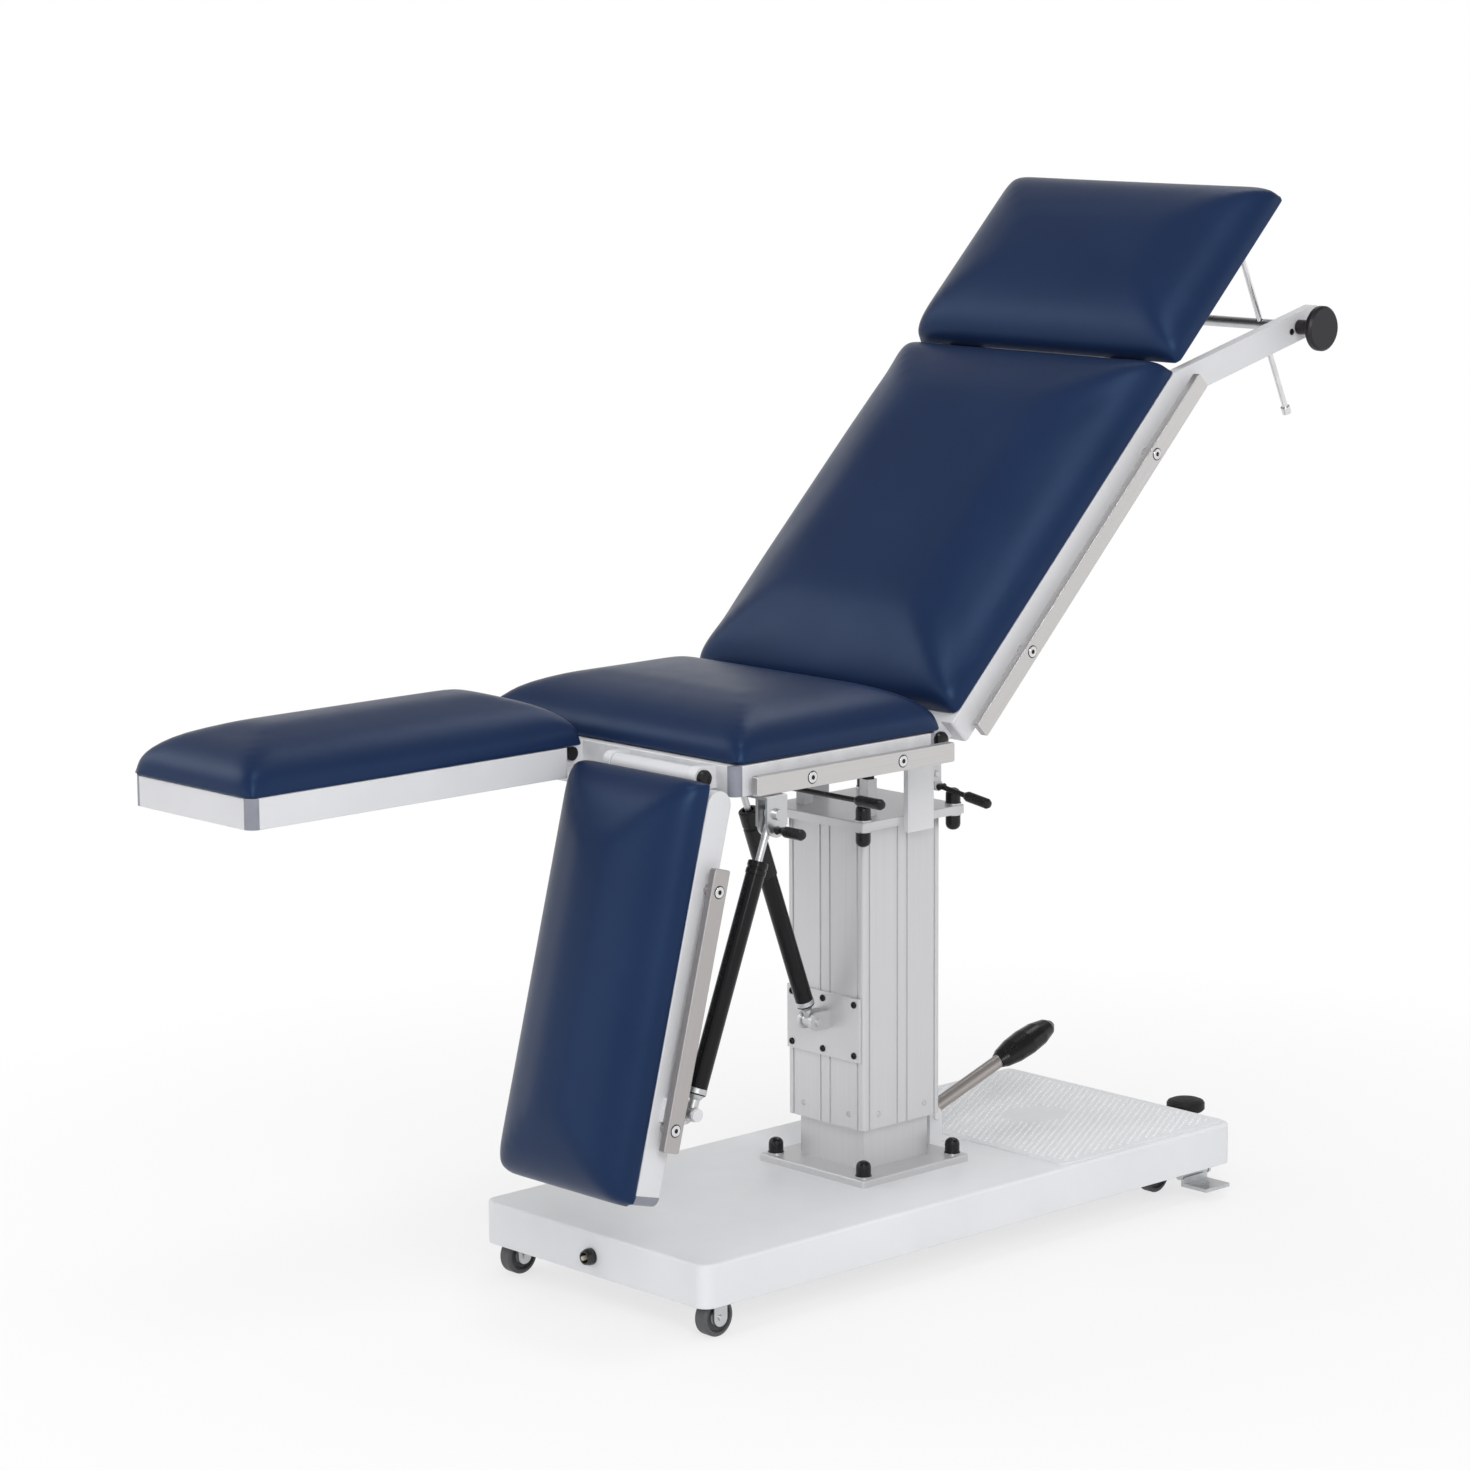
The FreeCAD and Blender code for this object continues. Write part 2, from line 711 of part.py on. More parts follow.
pieces.append(round_bar("Y", "lower_set", "lower_pivot",
                        ("-lower_side - (%s)" % reach, "-lower_side + %s" % reach), "pedal_pin"))
for hand in (-1, 1):
    mid = "brake_set + %d * (brake_width / 2 + side_clear + 2)" % hand
    lug = ("%s - 2" % mid, "%s + 2" % mid)
    pieces.append(box(lug, (minus("brake_side + 8"), minus("brake_side - 8")),
                      ("base_clear - 11", "base_clear")))
    pieces.append(round_bar("X", minus("brake_side"), "base_clear - 11", lug, "8"))
pieces.append(round_bar("X", minus("brake_side"), "base_clear - 11",
                        ("brake_set - brake_width / 2 - 5", "brake_set + brake_width / 2 + 5"), "pedal_pin"))
node(fuse(pieces), "wheel_brackets")


def wheel_section(width):
    """List the section of a wheel with a dished face and a rounded tread."""
    half = "(%s) / 2" % width
    bore = "axle_radius + run_clear"
    return [
        (bore, minus(half)), ("wheel_hub", minus(half)), ("wheel_hub + 2", "-(%s) * 0.7" % half),
        ("wheel_radius - 8", "-(%s) * 0.7" % half), ("wheel_radius - 6", minus(half)),
        ("wheel_radius - 2.5", minus(half)), ("wheel_radius", "-(%s) * 0.75" % half),
        ("wheel_radius", "(%s) * 0.75" % half), ("wheel_radius - 2.5", half),
        ("wheel_radius - 6", half), ("wheel_radius - 8", "(%s) * 0.7" % half),
        ("wheel_hub + 2", "(%s) * 0.7" % half), ("wheel_hub", half), (bore, half),
    ]


for side, word in ((-1, "near"), (1, "far")):
    wheel = turned(wheel_section("wheel_width"))
    place(wheel, "-front_wheel_set", "%d * front_wheel_track / 2" % side, "wheel_radius", "1; 0; 0", "90")
    node(wheel, "front_wheel_" + word)
    row_y = "%d * caster_track / 2" % side
    crown_low = "base_clear + caster_well_depth - 6"
    crown_high = "base_clear + caster_well_depth - 2 * side_clear"
    fork = [
        round_bar("Z", "caster_set", row_y, (crown_low, crown_high), "wheel_radius * 0.72"),
        round_bar("Z", "caster_set", row_y, (crown_low, "base_clear + caster_well_depth + stem_length"),
                  "stem_radius"),
    ]
    hub_x = "caster_set - caster_trail"
    for hand in (-1, 1):
        near_face = "caster_width / 2 + side_clear"
        far_face = "caster_width / 2 + side_clear + cheek_thick"
        across = ("%s + %s" % (row_y, near_face), "%s + %s" % (row_y, far_face))
        if hand < 0:
            across = ("%s - (%s)" % (row_y, far_face), "%s - (%s)" % (row_y, near_face))
        fork.append(round_bar("Y", hub_x, "wheel_radius", across, "10"))
        fork.append(box(("%s - 9" % hub_x, "caster_set + 8"), across, ("wheel_radius + 2", crown_high)))
    reach = "caster_width / 2 + side_clear + cheek_thick + 1.5"
    fork.append(round_bar("Y", hub_x, "wheel_radius",
                          ("%s - (%s)" % (row_y, reach), "%s + %s" % (row_y, reach)), "axle_radius"))
    node(fuse(fork), "caster_fork_" + word)
    wheel = turned(wheel_section("caster_width"))
    place(wheel, hub_x, row_y, "wheel_radius", "1; 0; 0", "90")
    node(wheel, "caster_wheel_" + word)

# Pump pedal behind the column
cheek_in = "pump_hub_half + side_clear"
cheek_out = "pump_hub_half + side_clear + pump_cheek"
foot = ("pump_set - pump_hub - pump_cheek / 2", "pump_rear")
pieces = [box(foot, (minus("(%s) + pump_cheek / 2" % cheek_out), "%s + pump_cheek / 2" % cheek_out),
              ("base_top", "base_top + pump_cheek"))]
for hand in (-1, 1):
    across = sided(hand, cheek_in, cheek_out)
    pieces.append(box(("pump_set - pump_hub", "pump_set + pump_hub"), across, ("base_top", "pump_height")))
    pieces.append(round_bar("Y", "pump_set", "pump_height", across, "pump_hub"))
pin_out = "%s + pump_cheek / 2" % cheek_out
pieces.append(round_bar("Y", "pump_set", "pump_height", (minus(pin_out), pin_out), "pump_pin"))
node(fuse(pieces), "pump_bracket")
tube_end = "pump_reach + grip_length * 0.4"
lever = cut(fuse([
    round_bar("Y", "0", "0", (minus("pump_hub_half"), "pump_hub_half"), "pump_hub"),
    round_bar("X", "0", "0", ("pump_pin", tube_end), "pump_tube"),
]), [round_bar("Y", "0", "0", (minus("pump_hub_half * 2"), "pump_hub_half * 2"), "pump_pin + run_clear")])
node(place(lever, "pump_set", "0", "pump_height", "0; 1; 0", minus("pump_rise")), "pump_lever")
ovals = []
for along, share in ((0.0, 0.5), (0.1, 0.74), (0.28, 0.94), (0.5, 1.0), (0.72, 0.92), (0.9, 0.66),
                     (0.98, 0.34)):
    oval = doc.addObject("Part::Ellipse", "Oval")
    oval.setExpression("MajorRadius", formula("grip_width / 2 * %s" % share))
    oval.setExpression("MinorRadius", formula("grip_depth / 2 * %s" % share))
    ovals.append(place(oval, "pump_reach + grip_length * %s" % along, "0", "0", "1; 1; 1", "120"))
doc.recompute()
grip = doc.addObject("Part::Loft", "Grip")
grip.Sections = ovals
grip.Solid = True
grip.Ruled = True
grip = cut(grip, [round_bar("X", "0", "0", ("0", "%s + side_clear" % tube_end), "pump_tube + run_clear")])
node(place(grip, "pump_set", "0", "pump_height", "0; 1; 0", minus("pump_rise")), "pump_grip")

# Lowering pedal at the rear and brake pedal at the near side
bar_across = ("-lower_side - lower_width / 4", "-lower_side + lower_width / 4")
bar_deep = ("lower_pivot - pedal_pin", "lower_pivot + pedal_pin")
riser = "lower_set + lower_riser"
pad_low = "lower_top - 3 * lower_rubber"
tread = turned([
    ("0.05", "0"), ("lower_pad - lower_rubber / 2", "0.01"), ("lower_pad", "lower_rubber / 2"),
    ("lower_pad", "lower_rubber * 1.9"), ("lower_pad * 0.93", "lower_rubber * 2.4"),
    ("lower_pad * 0.74", "lower_rubber * 2.75"), ("lower_pad * 0.4", "lower_rubber * 2.95"),
    ("0.05", "lower_rubber * 3"),
])
lower = cut(fuse([
    round_bar("Y", "lower_set", "lower_pivot", bar_across, "pedal_pin * 2"),
    box(("lower_set", riser), bar_across, bar_deep),
    box(("%s - lower_rubber" % riser, riser), bar_across, (bar_deep[0], "lower_top - lower_rubber")),
    place(tread, "lower_set + lower_pad + lower_rubber / 2", minus("lower_side"), pad_low),
]), [round_bar("Y", "lower_set", "lower_pivot", ("-lower_side - lower_width", "0"), "pedal_pin + run_clear")])
node(lower, "lowering_pedal")
pivot_z = "base_clear - 11"
along = ("brake_set - brake_width / 2", "brake_set + brake_width / 2")
brake = cut(fuse([
    round_bar("X", minus("brake_side"), pivot_z, along, "pedal_pin + 3"),
    box(along, (minus("brake_side + pedal_thick"), minus("brake_side")), ("%s - 18" % pivot_z, pivot_z)),
    box(along, (minus("brake_side + brake_reach"), minus("brake_side")),
        ("%s - 18" % pivot_z, "%s - 18 + pedal_thick" % pivot_z)),
]), [round_bar("X", minus("brake_side"), pivot_z, ("brake_set - brake_width", "brake_set + brake_width"),
               "pedal_pin + run_clear")])
node(brake, "brake_pedal")

# Column
square = (minus("plate_size / 2"), "plate_size / 2")
node(place(slab(square, square, "plate_thick", "4", "2"), "0", "0", "base_top"), "column_plate")
pieces = []
for x in ("-nut_pitch / 2", "nut_pitch / 2"):
    for y in ("-nut_pitch / 2", "nut_pitch / 2"):
        pieces.append(cap_nut(x, y, "plate_top"))
node(fuse(pieces), "base_cap_nuts")
square = (minus("inner_size / 2"), "inner_size / 2")
core = (minus("inner_size / 2 - inner_wall"), "inner_size / 2 - inner_wall")
inner_top = "plate_top + inner_length"
node(cut(box(square, square, ("plate_top", inner_top)),
         [box(core, core, ("plate_top - 1", "%s + 1" % inner_top))]), "inner_column")
ram_top = "plate_top + ram_length"
node(cut(round_bar("Z", "0", "0", ("plate_top", ram_top), "ram_radius"),
         [round_bar("Z", "0", "0", ("plate_top + ram_floor", "%s + 1" % ram_top),
                    "piston_radius + run_clear")]),
     "hydraulic_cylinder")
node(round_bar("Z", "0", "0", ("plate_top + ram_floor + column_show", "outer_top"), "piston_radius"),
     "piston_rod")

square = (minus("outer_size / 2"), "outer_size / 2")
core = (minus("outer_bore / 2"), "outer_bore / 2")
tall = ("outer_foot - 1", "outer_top + 1")
tools = [box(core, core, tall)]
for spot in ("flute_mid", "-flute_mid", "outer_size / 2 - flute_edge", "-outer_size / 2 + flute_edge"):
    width = ("%s - flute_width / 2" % spot, "%s + flute_width / 2" % spot)
    for hand in (-1, 1):
        depth = sided(hand, "outer_size / 2 - flute_depth", "outer_size / 2 + 1")
        tools.append(box(depth, width, tall))
        tools.append(box(width, depth, tall))
sleeve = slab(square, square, "outer_length", "5")
place(sleeve, "0", "0", "outer_foot")
node(cut(sleeve, tools), "outer_column")
square = (minus("top_size / 2"), "top_size / 2")
node(place(slab(square, square, "top_thick", "3", "1.5"), "0", "0", "outer_top"), "top_plate")
pieces = []
for x in ("-nut_pitch / 2", "nut_pitch / 2"):
    for y in ("-nut_pitch / 2", "nut_pitch / 2"):
        pieces.append(cap_nut(x, y, "deck"))
        pieces.append(cap_nut(x, y, "outer_top", -1))
node(fuse(pieces), "top_cap_nuts")

pieces = []
for side in (-1, 1):
    across = sided(side, "post_in", "post_in + post_thick")
    pieces.append(box(("tilt_x - post_width / 2", "tilt_x + post_width / 2"), across,
                      ("deck - post_foot", "tilt_z")))
    pieces.append(box(("tilt_x - post_width / 2 + post_cap", "tilt_x + post_width / 2 - post_cap"), across,
                      ("tilt_z - 2", "tilt_z + post_cap")))
    for spot in ("tilt_x - post_width / 2 + post_cap", "tilt_x + post_width / 2 - post_cap"):
        pieces.append(round_bar("Y", spot, "tilt_z", across, "post_cap"))
    pieces.append(round_bar("Y", "tilt_x", "tilt_z", sided(side, "bar_in - 4", "post_in + post_thick + 3"),
                            "tilt_pin"))
    pieces.append(round_bar("Y", "tilt_x", "tilt_z",
                            sided(side, "post_in + post_thick", "post_in + post_thick + 6"), "tilt_pin + 4"))
    pieces.append(box(("-stop_x - stop_size / 2", "-stop_x + stop_size / 2"),
                      ("%d * stop_pitch / 2 - stop_size / 2" % side,
                       "%d * stop_pitch / 2 + stop_size / 2" % side),
                      ("deck", "deck + stop_height")))
node(fuse(pieces), "tilt_posts")
node(fuse([round_bar("Z", "-stop_x", "%d * stop_pitch / 2" % side, ("deck + stop_height", "bar_low - 0.3"),
                     "stop_size / 2")
           for side in (-1, 1)]), "stop_buffers")

face = "-outer_size / 2"
pieces = [box(("%s - bracket_thick" % face, face), (minus("bracket_width / 2"), "bracket_width / 2"),
              ("bracket_z", "bracket_z + bracket_height"))]
for side in (-1, 1):
    across = sided(side, "lug_gap", "lug_gap + lug_thick")
    pieces.append(box(("-bracket_pivot_x", face), across, ("bracket_pivot_z - 12", "bracket_pivot_z + 12")))
    pieces.append(round_bar("Y", "-bracket_pivot_x", "bracket_pivot_z", across, "12"))
pieces.append(round_bar("Y", "-bracket_pivot_x", "bracket_pivot_z",
                        (minus("lug_gap + lug_thick + 4"), "lug_gap + lug_thick + 4"), "strut_pin"))
node(fuse(pieces), "strut_bracket")

# Tilt strut
body = strut_body("0", "strut_eye", "tilt_strut_body", "strut_pin + run_clear", "strut_rod + run_clear")
node(place(body, minus("bracket_pivot_x"), "0", "bracket_pivot_z", "0; 1; 0", "tilt_turn"), "tilt_cylinder")
across = (minus("eye_half"), "eye_half")
rod = cut(fuse([
    round_bar("Y", "0", "tilt_span", across, "strut_eye + 2"),
    round_bar("Z", "0", "0", ("tilt_span - tilt_rod_length", "tilt_span - 4"), "strut_rod"),
    round_bar("Z", "0", "0", ("tilt_span - 30", "tilt_span - 8"), "strut_eye - 2"),
]), [round_bar("Y", "0", "tilt_span", ("-20", "20"), "strut_pin + tilt_open")])
node(place(rod, minus("bracket_pivot_x"), "0", "bracket_pivot_z", "0; 1; 0", "tilt_turn"), "tilt_rod")
start = "strut_eye - 2 + 0.3"
spot = "tilt_span - tilt_lever_set"
reach = "tilt_lever_reach + lever_grip - (%s)" % start
arm = place(lever_arm("%s - tilt_grip_length" % reach, "tilt_grip_length"), "0", minus(start), spot,
            "1; 0; 0", "90")
barrel = round_bar("X", minus("%s + lever_barrel" % start), spot,
                   (minus("lever_barrel_half"), "lever_barrel_half"), "lever_barrel")
lever = place(fuse([arm, barrel]), minus("bracket_pivot_x"), "0", "bracket_pivot_z", "0; 1; 0", "tilt_turn")
node(lever, "tilt_lever")

# Seat
def tray(across_x, across_y, low):
    """Make a section frame: a plate with soft edges, pocketed from below to a rim under a thin board."""
    body = slab(across_x, across_y, "frame_depth", "frame_corner", "frame_edge")
    inside_x = ("(%s) + frame_wall" % across_x[0], "(%s) - frame_wall" % across_x[1])
    inside_y = ("(%s) + frame_wall" % across_y[0], "(%s) - frame_wall" % across_y[1])
    hollow = outline(body, "XY_Plane", rectangle(inside_x, inside_y), "Hollow")
    sink(body, hollow, "frame_depth - board_thick")
    return place(body, "0", "0", low)


wide = (minus("half"), "half")
seat_x = (minus("seat_front"), minus("seat_rear"))
rim = tray(seat_x, wide, "seat_low")
notches = []
caps = []
for x, way in ((seat_x[0], 1), (seat_x[1], -1)):
    for side in (-1, 1):
        inner_x = "(%s) + %d * cap_size" % (x, way)
        inner_y = "%d * (half - cap_size)" % side
        span_x = (x, inner_x) if way > 0 else (inner_x, x)
        notches.append(box(span_x, sided(side, "half - cap_size", "half"), ("seat_low - 1", "seat_top + 1")))
        start = {(1, 1): "90", (1, -1): "180", (-1, 1): "0", (-1, -1): "270"}[(way, side)]
        caps.append(corner_cap(inner_x, inner_y, ("seat_low", "seat_top"), start))
pieces = [cut(rim, notches)]
bolts = []
bores = []
for side in (-1, 1):
    for low, high in (("ear_out - ear_thick", "ear_out"), ("ear_in", "ear_in + ear_thick")):
        across = sided(side, low, high)
        pieces.append(box((minus("leg_axis"), minus("seat_front")), across,
                          ("hinge_z - ear_radius", "hinge_z + ear_radius")))
        pieces.append(round_bar("Y", "-leg_axis", "hinge_z", across, "ear_radius"))
    shank = sided(side, "ear_in - 6", "ear_out + 3")
    bolts.append(fuse([
        round_bar("Y", "-leg_axis", "hinge_z", shank, "hinge_pin"),
        hinge_button("-leg_axis", "%d * ear_out" % side, "hinge_z", side),
        round_bar("Y", "-leg_axis", "hinge_z", sided(side, "ear_in - 6", "ear_in"), "hinge_cap - 2"),
    ]))
    bores.append(round_bar("Y", "-leg_axis", "hinge_z", sided(side, "ear_in - 20", "ear_out + 20"),
                           "hinge_pin + run_clear"))
    across = sided(side, "back_ear_in", "back_ear_out")
    pieces.append(box((minus("seat_rear"), minus("back_axis")), across,
                      ("hinge_z - ear_radius", "hinge_z + ear_radius")))
    pieces.append(round_bar("Y", "-back_axis", "hinge_z", across, "ear_radius"))
    cap_face = "lug_in + lug_width + side_clear"
    bolts.append(fuse([
        round_bar("Y", "-back_axis", "hinge_z", sided(side, "back_ear_in - 6", "%s + 3" % cap_face),
                  "hinge_pin"),
        hinge_button("-back_axis", "%d * (%s)" % (side, cap_face), "hinge_z", side),
        round_bar("Y", "-back_axis", "hinge_z", sided(side, "back_ear_in - 6", "back_ear_in"),
                  "hinge_cap - 2"),
    ]))
    bores.append(round_bar("Y", "-back_axis", "hinge_z", sided(side, "back_ear_in - 10", "half"),
                           "hinge_pin + run_clear"))
    # Head bracket of a leg strut: a plate under the frame with two cheeks and bolt heads
    cheek = ("leg_strut_y + rod_gap", "leg_strut_y + rod_gap + lug_cheek")
    cheek_in = ("leg_strut_y - rod_gap - lug_cheek", "leg_strut_y - rod_gap")
    along = ("-leg_head_x - strut_lug - 2", "-leg_head_x + strut_lug + 2")
    pieces.append(box(along, sided(side, "half - frame_wall", cheek[1]),
                      ("seat_low - leg_head_plate", "seat_low")))
    for low, high in (cheek, cheek_in):
        pieces.append(box(along, sided(side, low, high),
                          ("leg_head_z - strut_lug", "seat_low - leg_head_plate / 2")))
        pieces.append(round_bar("Y", "-leg_head_x", "leg_head_z - strut_lug + 1", sided(side, low, high),
                                "strut_lug"))
    head = sided(side, cheek[1], "%s + lug_thick" % cheek[1])
    pieces.append(round_bar("Y", "-leg_head_x", "leg_head_z", head, "rod_eye - 1"))
node(cut(fuse(pieces), bores), "seat_frame")
node(fuse(caps), "seat_caps")
node(fuse(bolts), "hinge_bolts")
node(cushion(("-seat_pad_rear - seat_pad_length", "-seat_pad_rear"), wide, "seat_top"), "seat_pad")
mid = "-seat_rail_rear - seat_rail_length / 2"
rails = [rail(side, ("-seat_rail_rear - seat_rail_length", "-seat_rail_rear"), "seat_top - seat_rail_drop",
              ("%s - seat_rail_hole" % mid, "%s + seat_rail_hole" % mid)) for side in (-1, 1)]
node(fuse(rails), "seat_rails")

pieces = []
for side in (-1, 1):
    across = sided(side, "bar_in", "bar_out")
    pieces.append(box(("-seat_front + 5", "tilt_x + bar_tail"), across, ("bar_low", "bar_top")))
    pieces.append(box(("-seat_front + 5", "-seat_front + 35"), across, ("bar_low", "seat_low")))
    pieces.append(box(("-seat_rear - frame_wall", "-seat_rear"), across, ("bar_low", "seat_low")))
between = (minus("bar_in"), "bar_in")
pieces.append(box(("-stop_x - 10", "-stop_x + 10"), between, ("bar_low", "bar_top")))
pieces.append(box(("-tilt_head_x - 36", "-tilt_head_x - 16"), between, ("bar_low", "bar_top")))
pieces.append(box(("tilt_x", "tilt_x + bar_tail"), between, ("bar_low", "bar_top")))
for side in (-1, 1):
    across = sided(side, "lug_gap", "lug_gap + lug_thick")
    pieces.append(box(("-tilt_head_x - 17", "-tilt_head_x"), across, ("tilt_head_z - 10", "bar_top")))
    pieces.append(round_bar("Y", "-tilt_head_x", "tilt_head_z", across, "10"))
    outer = "-back_strut_y + %d * (lug_gap + lug_thick / 2)" % side
    across = ("%s - lug_thick / 2" % outer, "%s + lug_thick / 2" % outer)
    pieces.append(box(("tilt_x + 2", "back_foot_x + 4"), across, ("bar_low - 12", "bar_top")))
    pieces.append(box(("back_foot_x - 24", "back_foot_x + 10"), across, ("back_foot_z", "bar_top - 2")))
    pieces.append(round_bar("Y", "back_foot_x", "back_foot_z", across, "10"))
    pieces.append(round_bar("Y", "back_foot_x + back_lever_shift", "back_foot_z - back_lever_drop", across,
                            "7"))
    pieces.append(box(("back_foot_x + back_lever_shift - 7", "back_foot_x + back_lever_shift + 4"), across,
                      ("back_foot_z - back_lever_drop", "back_foot_z")))
pieces.append(round_bar("Y", "-tilt_head_x", "tilt_head_z",
                        (minus("lug_gap + lug_thick + 4"), "lug_gap + lug_thick + 4"), "strut_pin"))
pieces.append(round_bar("Y", "back_foot_x", "back_foot_z",
                        ("-back_strut_y - lug_gap - lug_thick - 4",
                         "-back_strut_y + lug_gap + lug_thick + 4"), "pedal_pin"))
bores = [round_bar("Y", "tilt_x", "tilt_z", (minus("bar_out + 2"), minus("bar_in - 6")),
                   "tilt_pin + run_clear"),
         round_bar("Y", "tilt_x", "tilt_z", ("bar_in - 6", "bar_out + 2"), "tilt_pin + run_clear")]
node(cut(fuse(pieces), bores), "tilt_bars")

# Legs, drawn level about their hinge axis and then folded
for side, word in ((-1, "near"), (1, "far")):
    turn = minus("leg_%s_fall" % word)

    def settle(thing):
        """Hang a leg piece on the leg hinge."""
        return place(thing, minus("leg_axis"), "0", "hinge_z", "0; 1; 0", turn)

    span_y = sided(side, "leg_gap / 2", "half")
    rim = tray((minus("leg_end"), minus("leg_start")), span_y, "frame_low")
    notches = []
    caps = []
    foot_in = "-leg_end + cap_size"
    tall = ("frame_low - 1", "hinge_drop + 1")
    for edge_y, hand in (("half", 1), ("leg_gap / 2", -1)):
        near_y = "%s - %d * cap_size" % (edge_y, hand)
        low, high = (near_y, edge_y) if hand > 0 else (edge_y, near_y)
        notches.append(box((minus("leg_end"), foot_in), sided(side, low, high), tall))
        start = "90" if hand * side > 0 else "180"
        caps.append(corner_cap(foot_in, near_y if side > 0 else minus(near_y), ("frame_low", "hinge_drop"),
                               start))
    pieces = [cut(rim, notches)]
    pieces.append(round_bar("Y", minus("leg_start"), "frame_mid", sided(side, "half - frame_wall", "half"),
                            "frame_depth / 2"))
    pieces.append(round_bar("Y", "0", "0", sided(side, "tube_in", "tube_out"), "hinge_tube"))
    for mid in ("tube_in + 20", "tube_out - 20"):
        pieces.append(box(("-leg_start - 4", "0"), sided(side, "%s - 6" % mid, "%s + 6" % mid),
                          ("-10", "10")))
    foot_x = minus("leg_strut_along")
    foot_z = minus("leg_strut_drop")
    plate = sided(side, "half", "leg_strut_y - eye_half - side_clear")
    pieces.append(box(("%s - 15" % foot_x, "%s + 15" % foot_x), plate, (foot_z, "0")))
    pieces.append(round_bar("Y", foot_x, foot_z, plate, "15"))
    pieces.append(round_bar("Y", foot_x, foot_z, sided(side, "half", "leg_strut_y + eye_half + 4"),
                            "strut_pin"))
    pieces.append(round_bar("Y", foot_x, foot_z,
                            sided(side, "leg_strut_y + eye_half + side_clear",
                                  "leg_strut_y + eye_half + 5"), "strut_pin + 3"))
    bore = round_bar("Y", "0", "0", sided(side, "ear_in", "ear_out"), "hinge_pin + run_clear")
    node(settle(cut(fuse(pieces), [bore])), "leg_frame_" + word)
    node(settle(fuse(caps)), "leg_caps_" + word)
    node(settle(cushion((minus("leg_end"), minus("leg_pad_start")), span_y, "hinge_drop")), "leg_pad_" + word)
    along = ("-leg_rail_start - leg_rail_length", minus("leg_rail_start"))
    posts = ("%s + leg_rail_hole" % along[0], "%s - leg_rail_hole" % along[1])
    node(settle(rail(side, along, "leg_rail_top", posts)), "leg_rail_" + word)
    foot = ("leg_%s_foot_x" % word, "%d * leg_strut_y" % side, "leg_%s_foot_z" % word)
    body = strut_body("0", "strut_eye", "leg_strut_body", "strut_pin + run_clear", "strut_rod + run_clear")
    node(place(body, *foot, "0; 1; 0", "leg_%s_turn" % word), "leg_cylinder_" + word)
    top = "leg_%s_span" % word
    rod = fuse([
        round_bar("Y", "0", top, (minus("rod_eye_width / 2"), "rod_eye_width / 2"), "rod_eye"),
        round_bar("Z", "0", "0", ("%s - leg_rod_length" % top, "%s - 4" % top), "strut_rod"),
        round_bar("Z", "0", "0", ("%s - 32" % top, "%s - 5" % top), "rod_eye_width / 2 - 0.5"),
    ])
    node(place(rod, *foot, "0; 1; 0", "leg_%s_turn" % word), "leg_rod_" + word)
    lever_z = "leg_head_z - leg_lever_drop"
    arm = lever_arm("leg_lever_stem", "leg_lever_reach - leg_lever_stem")
    place(arm, minus("leg_head_x"), "%d * (lever_root)" % side, lever_z, "1; 0; 0",
          "-90" if side > 0 else "90")
    barrel = round_bar("X", "%d * (lever_root + lever_barrel)" % side, lever_z,
                       ("-leg_head_x - lever_barrel_half", "-leg_head_x + lever_barrel_half"), "lever_barrel")
    lever = fuse([arm, barrel])
    node(lever, "leg_lever_" + word)


# Back, drawn level about its hinge axis and then raised
def raise_back(thing):
    """Hang a piece of the back section on the back hinge."""
    return place(thing, minus("back_axis"), "0", "hinge_z", "0; 1; 0", minus("back_rise"))


def back_spot(along, up):
    """Give the formulas of a spot of the raised back in the common frame."""
    x = "-back_axis + (%s) * cos(back_rise) - (%s) * sin(back_rise)" % (along, up)
    z = "hinge_z + (%s) * sin(back_rise) + (%s) * cos(back_rise)" % (along, up)
    return x, z


